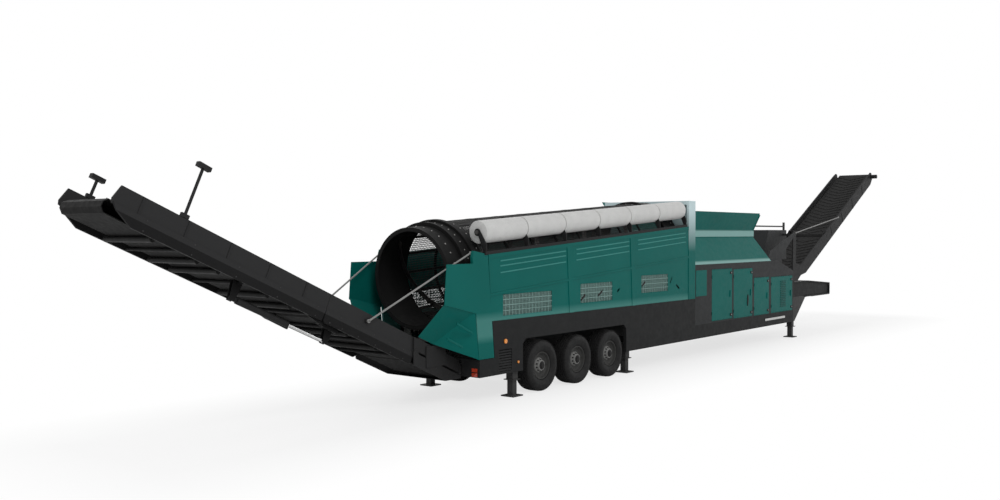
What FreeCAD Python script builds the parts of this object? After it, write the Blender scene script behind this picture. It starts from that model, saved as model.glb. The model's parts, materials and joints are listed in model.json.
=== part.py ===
import FreeCAD, Part
import Sketcher
import os
import re

# Trailer-borne trommel screen in its working position.
#
# Stations run along X from the rearmost axle towards the coupling, heights run up
# from the ground and Y runs from the near side (negative) to the far side. Every
# sub-part is then set over by the coupling pin's station and height, so the part's
# origin is the coupling pin where it leaves its rubbing plate.
# Lengths are in millimetres and angles in degrees.

os.makedirs("parts", exist_ok=True)
doc = FreeCAD.newDocument("TrommelScreen")
sheet = doc.addObject("Spreadsheet::Sheet", "Sizes")

SIZES = (
    # alias, value
    ("pin_station", 17600),
    ("coupling_height", 1095),
    ("pin_radius", 25.4),
    ("pin_length", 80),
    ("rub_plate", 12),
    ("half_width", 1275),
    # wheels and axles
    ("axle_pitch", 1310),
    ("tyre_radius", 536),
    ("tyre_width", 385),
    ("rim_radius", 292),
    ("rim_wall", 12),
    ("hub_radius", 135),
    ("axle_radius", 65),
    ("stub_radius", 40),
    ("axle_half", 860),
    ("shaft_play", 0.05),
    ("seat_gap", 0.3),
    # chassis
    ("frame_rear", -2040),
    ("frame_nose", 14850),
    ("beam_in", 430),
    ("beam_out", 550),
    ("beam_low", 650),
    ("beam_top", 1100),
    ("flange", 40),
    ("beam_web", 20),
    ("neck_start", 13300),
    ("neck_rise", 16200),
    ("neck_taper", 16500),
    ("neck_end", 18500),
    ("neck_top", 1655),
    ("neck_tip_top", 1515),
    ("skirt_rear", -2060),
    ("skirt_low", 510),
    ("skirt_top", 1570),
    ("skirt_wall", 20),
    ("arch_rear", -700),
    ("arch_front", 3280),
    ("arch_top", 1150),
    ("arch_corner", 100),
    ("arch_lip", 45),
    ("sill_top", 870),
    ("outrigger_low", 700),
    ("outrigger_top", 850),
    ("outrigger_width", 110),
    # parking jacks
    ("jack_track", 1110),
    ("jack_sleeve", 166),
    ("jack_leg", 136),
    ("jack_rear", -850),
    ("jack_middle", 3470),
    ("jack_front", 13480),
    ("jack_split", 330),
    ("jack_flange", 240),
    ("gusset_low", 490),
    ("gusset_top", 1260),
    ("gusset_front", 14430),
    ("jack_foot", 320),
    ("foot_plate", 25),
    # drum and its housing
    ("tilt", 4.1),
    ("drum_rear", -2600),
    ("drum_height", 2390),
    ("drum_length", 8850),
    ("drum_radius", 1060),
    ("drum_wall", 14),
    ("rear_band", 970),
    ("front_band", 900),
    ("lip_radius", 1076),
    ("ride_radius", 1112),
    ("ride_width", 120),
    ("rear_ride", 720),
    ("front_ride_back", 610),
    ("drum_neck", 1000),
    ("neck_length", 400),
    ("drum_lip", 80),
    ("cage_bars", 16),
    ("cage_bar", 60),
    ("cage_depth", 20),
    ("hoops", 7),
    ("hoop_width", 60),
    ("roller_radius", 180),
    ("roller_width", 130),
    ("roller_spread", 36),
    ("wall_foot", -1660),
    ("panel_skin", 14),
    ("panel_top", 2870),
    ("rib_width", 170),
    ("rib_reach", 60),
    ("end_frame_rear", 6360),
    ("end_frame_front", 6720),
    ("end_frame_top", 4110),
    ("end_wall", 6500),
    ("mouth_radius", 760),
    ("wing_top", 2700),
    ("wing_skin", 12),
    ("chute_skin", 8),
    # cleaning brush over the near side of the drum
    ("brush_side", 1050),
    ("brush_rise", 845),
    ("brush_radius", 228),
    ("brush_shaft", 40),
    ("brush_start", 805),
    ("brush_pitch", 1348),
    ("brush_gap", 36),
    ("brush_boss", 72),
    ("arm_wall", 24),
    ("rail_height", 60),
    # hopper and engine house
    ("house_top", 2450),
    ("house_front", 13300),
    ("house_front_top", 2110),
    ("roof_bend", 12100),
    ("hood_foot_front", 11580),
    ("hood_top_front", 10885),
    ("hood_top", 3180),
    ("hood_half", 1000),
    ("hood_skin", 14),
    ("gutter_top", 3340),
    ("gutter_lip", 22),
    ("flare_top", 3850),
    ("flare_front", 10770),
    ("far_flare_half", 1600),
    ("far_flare_top", 4130),
    ("door_skin", 25),
    ("door_gap", 6),
    ("door_hinge", 10),
    ("boot_rear", 12740),
    ("boot_front", 14150),
    ("boot_top", 3380),
    ("boot_half", 700),
    ("boot_arm_side", 1050),
    # belts
    ("belt_half", 560),
    ("collector_half", 415),
    ("feeder_depth", 220),
    ("collector_depth", 190),
    ("foot_belt_depth", 150),
    ("mid_belt_depth", 160),
    ("head_belt_depth", 220),
    ("lower_belt_depth", 190),
    ("upper_belt_depth", 210),
    ("feeder_rear", 6380),
    ("feeder_front", 10650),
    ("feeder_top", 3060),
    ("collector_rear", -1950),
    ("collector_front", 6300),
    ("collector_top", 1085),
    ("belt_skin", 14),
    ("belt_bend", 6),
    # oversize conveyor at the rear
    ("tail_foot", -2100),
    ("tail_foot_top", 824),
    ("tail_slope", 24),
    ("head_slope", 24),
    ("tail_break", -3200),
    ("tail_joint", -5300),
    ("tail_end", -9130),
    ("tail_half", 750),
    ("tail_web", 40),
    ("skirt_board", 263),
    ("mid_depth", 490),
    ("board_step", 14),
    ("tail_tie", 28),
    ("tail_tie_drop", 455),
    ("head_depth", 486),
    ("foot_low", 460),
    ("foot_kink", -2480),
    ("cover_rear", -3030),
    ("cover_front", -2500),
    ("cover_low", 770),
    ("cover_top", 1165),
    ("cheek_gap", 8),
    ("foot_board", 14),
    ("lift_pin", 25),
    ("fold_pin", 20),
    ("stay_station", -2225),
    ("stay_height", 2895),
    ("stay_side", 1185),
    ("stay_foot_station", -4500),
    ("stay_foot_height", 1745),
    ("stay_foot_side", 795),
    ("stay_foot_along", 1363),
    ("stay_foot_drop", 135),
    ("stay_pin", 14),
    ("stay_eye", 24),
    ("stay_eye_radius", 32),
    ("lamp_post", 790),
    ("lamp_post_at", 3065),
    ("far_post", 300),
    ("far_post_at", 3777),
    ("ram_cheek", 37),
    ("ram_eye", 24),
    ("ram_plate", 14),
    ("ram_side", 450),
    ("ram_seat", 1650),
    ("ram_seat_drop", 716),
    ("ram_back", 400),
    ("ram_low", 230),
    ("ram_reach", 2050),
    ("ram_lean", 0),
    ("ram_pin", 16),
    ("barrel_radius", 55),
    ("barrel_start", 110),
    ("barrel_end", 1200),
    ("ram_rod", 28),
    ("rod_start", 1000),
    # fines conveyor at the front
    ("slew_station", 15200),
    ("slew_radius", 480),
    ("slew_plate", 25),
    ("fines_slope", 26),
    ("fines_foot", 15300),
    ("fines_foot_top", 2140),
    ("fines_half", 690),
    ("fines_web", 36),
    ("fines_depth", 420),
    ("fines_board", 150),
    ("fines_joint", 2670),
    ("fines_length", 8080),
    ("fines_tie", 32),
    ("fines_tie_drop", 380),
    ("post_rear", 14600),
    ("post_front", 14870),
    ("post_top", 3360),
    ("tie_radius", 17),
    ("fines_pin", 30),
    ("fines_pin_along", 230),
    ("fines_pin_drop", 170),
    ("fines_fold_pin", 18),
    ("fines_fold_rise", 40),
    ("tie_station", 14800),
    ("tie_height", 3290),
    ("tie_side", 757),
    ("tie_length", 4009),
    ("tie_slope", 8.03),
    ("fines_stay_along", 3868),
    ("fines_stay_drop", -16),
    # small fittings
    ("rail_station", 10900),
    ("rail_end", 14040),
    ("rail_side", 650),
    ("rail_level", 3495),
    ("rail_radius", 22),
)
for row, (alias, number) in enumerate(SIZES, start=1):
    sheet.set("A%d" % row, alias)
    sheet.set("B%d" % row, str(number))
    sheet.setAlias("B%d" % row, alias)
doc.recompute()

ALIASES = {alias for alias, number in SIZES}
V = FreeCAD.Vector
UP = V(0, 0, 1)
TURN = {
    "x": FreeCAD.Rotation(V(0, 1, 0), 90),
    "y": FreeCAD.Rotation(V(1, 0, 0), -90),
    "z": FreeCAD.Rotation(),
}
nodes = []
counter = {}


def size(alias):
    return float(sheet.get(alias))


def cells(text):
    """Points each alias in an expression at its cell."""
    word = lambda match: "Sizes." + match.group(0) if match.group(0) in ALIASES else match.group(0)
    return re.sub(r"[a-z_]+", word, str(text))


def fresh(name):
    counter[name] = counter.get(name, 0) + 1
    return "%s_%d" % (name, counter[name])


def bind(piece, **properties):
    for name, text in properties.items():
        piece.setExpression(name, cells(text))
    return piece


def move(piece, x="0", y="0", z="0"):
    for axis, text in (("x", x), ("y", y), ("z", z)):
        piece.setExpression("Placement.Base." + axis, cells(text))
    return piece


def turn(piece, axis, angle):
    """Sets the piece over about an axis by the angle that a cell holds."""
    piece.Placement = FreeCAD.Placement(piece.Placement.Base, FreeCAD.Rotation(axis, 10))
    piece.setExpression("Placement.Rotation.Angle", cells(angle))
    return piece


def block(name, x, y, z):
    """A box between a low and a high value on each axis."""
    box = doc.addObject("Part::Box", fresh(name))
    bind(box, Length="(%s) - (%s)" % (x[1], x[0]), Width="(%s) - (%s)" % (y[1], y[0]),
         Height="(%s) - (%s)" % (z[1], z[0]))
    return move(box, x[0], y[0], z[0])


def bar(name, axis, radius, length, x="0", y="0", z="0"):
    """A round bar that starts at a point and runs along an axis."""
    rod = doc.addObject("Part::Cylinder", fresh(name))
    rod.Placement = FreeCAD.Placement(V(), TURN[axis])
    bind(rod, Radius=radius, Height=length)
    return move(rod, x, y, z)


def profile(body, name, plane, outline):
    """A closed outline of straight lines, each corner held to the origin by two cells' values."""
    origin = [item for item in body.Origin.OriginFeatures if item.Role == plane + "_Plane"][0]
    sketch = body.newObject("Sketcher::SketchObject", name + "Outline")
    sketch.AttachmentSupport = [(origin, "")]
    sketch.MapMode = "FlatFace"
    count = len(outline)
    start = [FreeCAD.Rotation(UP, 360.0 * turn_at / count).multVec(V(1000, 0, 0)) for turn_at in range(count)]
    sketch.addGeometry([Part.LineSegment(start[i], start[(i + 1) % count]) for i in range(count)], False)
    sketch.addConstraint([Sketcher.Constraint("Coincident", i, 2, (i + 1) % count, 1) for i in range(count)])
    for i, corner in enumerate(outline):
        for kind, offset, text in (("DistanceX", start[i].x, corner[0]), ("DistanceY", start[i].y, corner[1])):
            index = sketch.addConstraint(Sketcher.Constraint(kind, -1, 1, i, 1, offset))
            sketch.setExpression("Constraints[%d]" % index, cells(text))
    return sketch


def plate(name, plane, outline, thickness, centre="0"):
    """A flat plate cut to an outline, its thickness half to each side of the centre."""
    body = doc.addObject("PartDesign::Body", fresh(name))
    sketch = profile(body, body.Name, plane, outline)
    pad = body.newObject("PartDesign::Pad", body.Name + "Pad")
    pad.Profile = sketch
    pad.SideType = "Symmetric"
    bind(pad, Length=thickness)
    normal = {"XZ": "y", "XY": "z", "YZ": "x"}[plane]
    return move(body, **{normal: centre})


def turned(name, plane, outline):
    """A ring or disc turned about the first axis of its plane; an outline gives place and radius."""
    body = doc.addObject("PartDesign::Body", fresh(name))
    sketch = profile(body, body.Name, plane, outline)
    spin = body.newObject("PartDesign::Revolution", body.Name + "Turn")
    spin.Profile = sketch
    spin.ReferenceAxis = (sketch, ["H_Axis"])
    spin.Angle = 360
    return body


def cut(name, base, *tools):
    for tool in tools:
        piece = doc.addObject("Part::Cut", fresh(name))
        piece.Base = base
        piece.Tool = tool
        base = piece
    return base


def joined(name, pieces):
    if len(pieces) == 1:
        return pieces[0]
    whole = doc.addObject("Part::MultiFuse", fresh(name))
    whole.Shapes = pieces
    return whole


def grouped(name, pieces):
    whole = doc.addObject("Part::Compound", fresh(name))
    whole.Links = pieces
    return whole


def mirrored(piece):
    """The same piece on the far side of the centre plane."""
    twin = doc.addObject("Part::Mirroring", fresh(piece.Name + "Far"))
    twin.Source = piece
    twin.Base = V(0, 0, 0)
    twin.Normal = V(0, 1, 0)
    return twin


def both(piece):
    return [piece, mirrored(piece)]


def node(label, pieces, frame=None):
    """Gathers a sub-part's solids under its label and sets it over to the part's origin."""
    held = grouped(label, pieces)
    if frame:
        seat = FRAMES[frame]
        held.Placement = FreeCAD.Placement(V(), FreeCAD.Rotation(V(0, 1, 0), 10))
        x, z, angle, facing = seat
        if facing == "rear":
            held.Placement = FreeCAD.Placement(V(), FreeCAD.Rotation(V(0, 0, 1), 180))
            held = grouped(label, [held])
        turn(held, V(0, 1, 0), angle)
        move(held, x, "0", z)
        held = grouped(label, [held])
    move(held, "-pin_station", "0", "-coupling_height")
    held.Label = label
    nodes.append(held)
    return held


# Inclined frames: the station and height of each one's origin, its slope about Y
# and which way its own X runs.
FRAMES = {
    "drum": ("drum_rear", "drum_height", "-tilt", "front"),
    "tail_mid": ("tail_break", "tail_foot_top + (tail_foot - tail_break) * tan(tail_slope)",
                 "tail_slope", "rear"),
    "tail_head": ("tail_joint", "tail_foot_top + (tail_foot - tail_joint) * tan(tail_slope)",
                  "head_slope", "rear"),
    "ram": ("tail_joint - ram_seat * cos(head_slope) - ram_seat_drop * sin(head_slope)",
            "tail_foot_top + (tail_foot - tail_joint) * tan(tail_slope) + ram_seat * sin(head_slope)"
            " - ram_seat_drop * cos(head_slope)", "head_slope + ram_lean", "front"),
    "fines": ("fines_foot", "fines_foot_top", "-fines_slope", "front"),
    "tie": ("tie_station", "tie_height", "-tie_slope", "front"),
}

# Pivot points, as station and height: the tail conveyor's lift and the fines conveyor's raise.
LIFT = ("tail_break - skirt_board * sin(tail_slope)",
        "tail_foot_top + (tail_foot - tail_break) * tan(tail_slope) - skirt_board * cos(tail_slope)")
FINES_PIN = ("fines_foot + fines_pin_along * cos(fines_slope) + fines_pin_drop * sin(fines_slope)",
             "fines_foot_top + fines_pin_along * sin(fines_slope) - fines_pin_drop * cos(fines_slope)")

AXLES = ("0", "axle_pitch", "2 * axle_pitch")
JACKS = ("jack_rear", "jack_middle", "jack_front")
TYRE_MID = "(half_width - tyre_width / 2)"


def wheel(index, station, side):
    sign = {"near": "-", "far": ""}[side]
    inner = "tyre_width / 2"
    bore = "rim_radius + seat_gap"
    crown = "tyre_radius"
    tyre = turned("Tyre", "YZ", (
        ("-%s + 60" % inner, bore), ("%s - 60" % inner, bore), ("%s - 26" % inner, "%s + 36" % bore),
        (inner, "tyre_radius * 0.78"), ("%s - 6" % inner, "%s - 46" % crown), ("%s - 44" % inner, "%s - 8" % crown),
        ("70", crown), ("-70", crown), ("-%s + 44" % inner, "%s - 8" % crown), ("-%s + 6" % inner, "%s - 46" % crown),
        ("-" + inner, "tyre_radius * 0.78"), ("-%s + 26" % inner, "%s + 36" % bore)))
    # The wheel's own outboard side faces +Y in its outline; the near side's is turned round.
    rim = turned("Rim", "YZ", (
        ("-150", "rim_radius"), ("130", "rim_radius"), ("150", "rim_radius - 8"), ("150", "rim_radius - 26"),
        ("96", "rim_radius - 40"), ("64", "rim_radius - 74"), ("58", "hub_radius + 26"), ("92", "hub_radius + 8"),
        ("92", "hub_radius - 12"), ("150", "hub_radius - 30"), ("158", "0"), ("60", "0"), ("60", "stub_radius + shaft_play"),
        ("-190", "stub_radius + shaft_play"), ("-190", "hub_radius - 30"), ("30", "hub_radius - 20"),
        ("30", "rim_radius - 60"), ("60", "rim_radius - 30"), ("30", "rim_radius - rim_wall"),
        ("-150", "rim_radius - rim_wall")))
    for label, piece in (("tyre", tyre), ("rim", rim)):
        if side == "near":
            piece.Placement = FreeCAD.Placement(V(), FreeCAD.Rotation(V(0, 0, 1), 180))
        move(piece, station, sign + TYRE_MID, "tyre_radius")
        node("%s_%s_%d" % (label, side, index), [piece])


def axles():
    """Three tube axles, each with a stub in the wheel's hub and a saddle under either beam."""
    pieces = []
    for station in AXLES:
        tube = bar("AxleTube", "y", "axle_radius", "2 * axle_half", station, "-axle_half", "tyre_radius")
        stub = bar("AxleStub", "y", "stub_radius", "2 * (half_width - 160)", station,
                   "-(half_width - 160)", "tyre_radius")
        saddles = [block("Saddle", (station + " - 150", station + " + 150"), ("beam_in + 10", "beam_out - 10"),
                         ("tyre_radius + axle_radius - 30", "beam_low"))]
        pieces.append(joined("Axle", [tube, stub] + saddles + [mirrored(saddles[0])]))
    node("axles", pieces)


def chassis():
    web = plate("Beam", "XZ", (
        ("frame_rear", "beam_low"), ("frame_nose", "beam_low"), ("neck_rise", "coupling_height + rub_plate"),
        ("neck_end", "coupling_height + rub_plate"), ("neck_end", "neck_tip_top"), ("neck_taper", "neck_top"),
        ("neck_start", "neck_top"), ("neck_start", "beam_top"), ("frame_rear", "beam_top")),
        "beam_out - beam_in", "-(beam_out + beam_in) / 2")
    recesses = [plate("BeamRecess", "XZ", (
        ("frame_rear - 10", "beam_low + flange"), ("frame_nose", "beam_low + flange"),
        ("neck_rise", "coupling_height + rub_plate + flange"), ("neck_end - flange", "coupling_height + rub_plate + flange"),
        ("neck_end - flange", "neck_tip_top - flange"), ("neck_taper", "neck_top - flange"),
        ("neck_start + flange", "neck_top - flange"), ("neck_start + flange", "beam_top - flange"),
        ("frame_rear - 10", "beam_top - flange")), "beam_out - beam_in - beam_web", "-" + side)
        for side in ("beam_out", "beam_in")]
    beam = cut("Beam", web, *recesses)
    reach = "(beam_in + beam_out) / 2"
    across = [block("CrossMember", (x, "%s + 120" % x), ("-" + reach, reach), ("beam_low + 30", "beam_low + 220"))
              for x in ("frame_rear", "-900", "650", "1950", "3500", "5600", "7800", "10200", "12600", "14500")]
    across.append(block("NeckDeck", ("neck_start", "neck_taper"), ("-beam_in", "beam_in"), ("neck_top - 14", "neck_top")))
    across.append(block("NeckTie", ("neck_end - 30", "neck_end"), ("-beam_in", "beam_in"),
                        ("coupling_height + rub_plate", "neck_tip_top - 20")))
    across.append(block("RubPlate", ("16800", "neck_end - 60"), ("-beam_out", "beam_out"),
                        ("coupling_height", "coupling_height + rub_plate")))
    for x, end in (("-2000", "half_width - skirt_wall"), ("-880", "half_width - skirt_wall"),
                   ("3440", "half_width - skirt_wall"), ("5400", "half_width - skirt_wall"),
                   ("7400", "half_width - skirt_wall"), ("9400", "half_width - skirt_wall"),
                   ("11400", "half_width - skirt_wall"), ("jack_front - outrigger_width / 2", "jack_track + jack_sleeve / 2 - 10")):
        arm = block("Outrigger", (x, "%s + outrigger_width" % x), (reach, end), ("outrigger_low", "outrigger_top"))
        across += both(arm)
    across.append(bar("SlewSeat", "z", "slew_radius + 30", "20", "slew_station", "0", "neck_top"))
    node("chassis_frame", [joined("ChassisFrame", both(beam) + across)])
    pin = bar("KingPin", "z", "pin_radius", "pin_length", "pin_station", "0", "coupling_height - pin_length")
    edge = doc.addObject("Part::Cone", "KingPinTip")
    bind(edge, Radius1="pin_radius - 4", Radius2="pin_radius", Height="6")
    move(edge, "pin_station", "0", "coupling_height - pin_length - 6")
    node("kingpin", [joined("KingPinWhole", [pin, edge])])


def skirts():
    """Side skirts with a shared arch over the three wheels and a raised lip round it."""
    skin = plate("Skirt", "XZ", (
        ("skirt_rear", "skirt_low"), ("arch_rear", "skirt_low"), ("arch_rear", "arch_top - arch_corner"),
        ("arch_rear + arch_corner", "arch_top"), ("arch_front - arch_corner", "arch_top"),
        ("arch_front", "arch_top - arch_corner"), ("arch_front", "skirt_low"), ("house_front", "skirt_low"),
        ("house_front", "sill_top"), ("end_frame_front", "sill_top"), ("end_frame_front", "skirt_top"),
        ("-1674", "skirt_top"), ("-1604", "850"), ("skirt_rear", "850")),
        "skirt_wall", "-(half_width - skirt_wall / 2)")
    grille = block("VentHole", ("-1470", "-1060"), ("-half_width - 5", "-half_width + skirt_wall + 5"), ("560", "990"))
    skin = cut("Skirt", skin, grille)
    slats = [plate("Slat", "YZ", (("-half_width + 2", "%d" % low), ("-half_width + 6", "%d" % low),
                                  ("-half_width + skirt_wall", "%d" % (low + 34)),
                                  ("-half_width + skirt_wall - 4", "%d" % (low + 34))), "410", "-1265")
             for low in range(572, 960, 52)]
    lip = plate("ArchLip", "XZ", (
        ("arch_rear - arch_lip", "skirt_low"), ("arch_rear", "skirt_low"), ("arch_rear", "arch_top - arch_corner"),
        ("arch_rear + arch_corner", "arch_top"), ("arch_front - arch_corner", "arch_top"),
        ("arch_front", "arch_top - arch_corner"), ("arch_front", "skirt_low"), ("arch_front + arch_lip", "skirt_low"),
        ("arch_front + arch_lip", "arch_top - arch_corner + 20"),
        ("arch_front - arch_corner + 20", "arch_top + arch_lip"),
        ("arch_rear + arch_corner - 20", "arch_top + arch_lip"), ("arch_rear - arch_lip", "arch_top - arch_corner + 20")),
        "skirt_wall + 60", "-(half_width - skirt_wall / 2 - 30)")
    side = joined("SkirtSide", [skin, lip] + slats)
    rear = block("RearPanel", ("skirt_rear", "skirt_rear + skirt_wall"), ("tail_half + 60", "half_width - skirt_wall"),
                 ("skirt_low", "850"))
    node("side_skirts", both(side) + both(rear))


def jacks():
    """Parking jacks in pairs: square sleeve with a flange, leg and foot plate, the front ones behind a side gusset."""
    legs = []
    half = "jack_sleeve / 2"
    for station in JACKS:
        sleeve = block("JackSleeve", (station + " - " + half, station + " + " + half),
                       ("-jack_track - " + half, "-jack_track + " + half), ("jack_split", "outrigger_low"))
        flange = block("JackFlange", (station + " - jack_flange / 2", station + " + jack_flange / 2"),
                       ("-jack_track - jack_flange / 2", "-jack_track + jack_flange / 2"),
                       ("jack_split", "jack_split + 16"))
        leg = block("JackLeg", (station + " - jack_leg / 2", station + " + jack_leg / 2"),
                    ("-jack_track - jack_leg / 2", "-jack_track + jack_leg / 2"), ("foot_plate - 2", "jack_split + 40"))
        foot = block("JackFoot", (station + " - jack_foot / 2", station + " + jack_foot / 2"),
                     ("-jack_track - jack_foot / 2", "-jack_track + jack_foot / 2"), ("0", "foot_plate"))
        parts = [sleeve, flange, leg, foot]
        if station == "jack_front":
            parts.append(plate("JackGusset", "XZ", (
                ("house_front + 4", "gusset_low"), ("house_front + 280", "gusset_low + 15"),
                ("gusset_front", "gusset_top - 80"), ("gusset_front - 60", "gusset_top"), ("house_front + 4", "gusset_top")),
                "skirt_wall", "-(jack_track + jack_sleeve / 2 + skirt_wall / 2 - 4)"))
        legs += both(joined("Jack", parts))
    node("parking_jacks", legs)


def wall_top(station):
    return "panel_top + ((%s) - wall_foot) * tan(tilt)" % station


def housing():
    """The drum's side walls, leaning with the drum, between a rear corner post and the end frame."""
    skin = plate("WallSkin", "XZ", (
        ("wall_foot - 20", "skirt_top"), ("end_frame_rear", "skirt_top"), ("end_frame_rear", wall_top("end_frame_rear")),
        ("wall_foot - 120", wall_top("wall_foot - 120"))), "panel_skin", "-(half_width - 20)")
    post = plate("CornerPost", "XZ", (
        ("-2080", "860"), ("-1620", "860"), ("-1815", wall_top("-1815") + " - 8"), ("-1915", wall_top("-1915") + " - 8"),
        ("-1920", "2886"), ("-2230", "2940"), ("-2270", "2820")), "rib_reach", "-(half_width - rib_reach / 2)")
    stay_pin = bar("StayPin", "y", "stay_pin", "half_width - rib_reach - stay_side + stay_eye / 2 + 8",
                   "stay_station", "-(half_width - rib_reach + 4)", "stay_height")
    pieces = [skin, post, stay_pin]
    for foot in ("960", "3560"):
        pieces.append(plate("WallRib", "XZ", (
            (foot, "skirt_top"), (foot + " + rib_width", "skirt_top"),
            (foot + " + rib_width - 100", wall_top(foot + " + rib_width - 100")),
            (foot + " - 100", wall_top(foot + " - 100"))), "rib_reach", "-(half_width - rib_reach / 2)"))
    for drop, depth in ((0, 80), (760, 46)):
        pieces.append(plate("WallRail", "XZ", (
            ("wall_foot - 130", wall_top("wall_foot - 130") + " - %d" % (drop + depth)),
            ("end_frame_rear", wall_top("end_frame_rear") + " - %d" % (drop + depth)),
            ("end_frame_rear", wall_top("end_frame_rear") + " - %d" % drop),
            ("wall_foot - 130", wall_top("wall_foot - 130") + " - %d" % drop)),
            "rib_reach - 20", "-(half_width - rib_reach / 2 + 10)"))
    wall = joined("DrumWall", pieces)
    holes, bars = [], []
    for left, width in ((-1330, 1650), (1390, 1300), (3990, 1300)):
        low = "1640 + (%d - wall_foot) * tan(tilt) * 0.5" % left
        holes.append(block("Hatch", ("%d" % left, "%d" % (left + width)), ("-half_width - 5", "-half_width + 60"),
                           (low, low + " + 420")))
        strips = [block("HatchBar", ("%d" % x, "%d" % (x + 16)), ("-half_width + 14", "-half_width + 22"),
                        (low, low + " + 420")) for x in range(left + 80, left + width - 60, 110)]
        strips += [block("HatchRow", ("%d" % left, "%d" % (left + width)), ("-half_width + 14", "-half_width + 22"),
                         (low + " + %d" % row, low + " + %d" % (row + 16))) for row in (90, 200, 310)]
        bars.append(joined("HatchGrille", strips))
    wall = cut("DrumWall", wall, joined("Hatches", holes))
    node("drum_walls", both(wall))
    node("wall_grilles", bars + [mirrored(one) for one in bars])


def end_frame():
    """The frame between drum and hopper, its wall pierced by the feed mouth on the drum's axis."""
    side = block("EndPost", ("end_frame_rear", "end_frame_front"), ("-half_width", "-half_width + rib_reach"),
                 ("skirt_top", "end_frame_top"))
    head = block("EndHead", ("end_frame_rear", "end_frame_front"), ("-half_width", "half_width"),
                 ("end_frame_top - 100", "end_frame_top"))
    wall = block("EndWall", ("end_wall", "end_wall + 16"), ("-half_width + rib_reach", "half_width - rib_reach"),
                 ("beam_top", "end_frame_top - 100"))
    mouth = bar("FeedMouth", "x", "mouth_radius", "200", "end_wall - 60", "0",
                "drum_height + (end_wall - drum_rear) * tan(tilt)")
    node("end_frame", [joined("EndFrame", both(side) + [head, cut("EndWall", wall, mouth)])])


def sheet_metal(name, panels, thickness):
    """Flat panels that share edges, thickened together to the side that their corners turn about."""
    outlines = [[V(*corner) for corner in corners] for corners in panels]
    way = V()
    for a, b, c in (points[:3] for points in outlines):
        way = way + (b - a).cross(c - a).normalize()
    way = way.normalize() * thickness
    shapes = [Part.Face(Part.makePolygon(points + points[:1])).extrude(way) for points in outlines]
    whole = shapes[0].fuse(shapes[1:]).removeSplitter() if len(shapes) > 1 else shapes[0]
    piece = doc.addObject("Part::Feature", fresh(name))
    piece.Shape = whole
    return piece


def rear_wings():
    """Wings that carry the oversize from the drum's mouth on to the tail conveyor."""
    half = size("half_width")
    inner = size("tail_half") + 50
    edge = "-2080 - (%s - 860) * 190 / 1960"
    wing = plate("Wing", "XZ", ((edge % "1750", "1750"), (edge % "wing_top", "wing_top"), ("-3000", "wing_top"),
                                ("-3060", "1960")), "wing_skin", "-(half_width - wing_skin / 2)")
    y = -(half - 0.7 * size("wing_skin"))
    panels = [
        ((-3040, y, 1990), (-3260, -inner, 1370), (-2860, -inner, 1200)),
        ((-3040, y, 1990), (-2860, -inner, 1200), (-2190, y, 1790)),
        ((-2190, y, 1790), (-2860, -inner, 1200), (-2085, y, 870)),
    ]
    chute = sheet_metal("Chute", panels, size("chute_skin"))
    wing = joined("WingSide", [wing, chute])
    node("rear_wings", both(wing))


def trunnions():
    """Rollers under the drum's two riding rings, each pair between the cheeks of a bed across the beams."""
    reach = "(ride_radius + roller_radius + seat_gap)"
    beds = []
    for ride in ("rear_ride", "(drum_length - front_ride_back)"):
        roll = bar("Roller", "x", "roller_radius", "roller_width", ride + " - roller_width / 2",
                   "-%s * sin(roller_spread)" % reach, "-%s * cos(roller_spread)" % reach)
        shaft = bar("RollerShaft", "x", "stub_radius", "roller_width + 190", ride + " - roller_width / 2 - 90",
                    "-%s * sin(roller_spread)" % reach, "-%s * cos(roller_spread)" % reach)
        pair = grouped("RollerPair", both(joined("RollerOnShaft", [roll, shaft])))
        turn(pair, V(0, 1, 0), "-tilt")
        move(pair, "drum_rear", "0", "drum_height")
        station = "drum_rear + %s * cos(tilt) + %s * cos(roller_spread) * sin(tilt)" % (ride, reach)
        height = "drum_height + %s * sin(tilt) - %s * cos(roller_spread)" % (ride, reach)
        lift = "%s * sin(roller_spread)" % reach
        seats = [block("TrunnionBed", (station + " - 200", station + " + 200"),
                       ("-half_width + 80", "half_width - 80"), ("beam_top", "beam_top + 60"))]
        for side in ("-", ""):
            middle = side + lift
            for low, high in ((-124, -106), (106, 124)):
                seats.append(block("Cheek", ("%s + %d" % (station, low), "%s + %d" % (station, high)),
                                   (middle + " - 90", middle + " + 90"), ("beam_top + 40", height + " + 70")))
        beds.append(joined("Trunnion", [pair] + seats))
    node("trunnions", beds)


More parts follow.
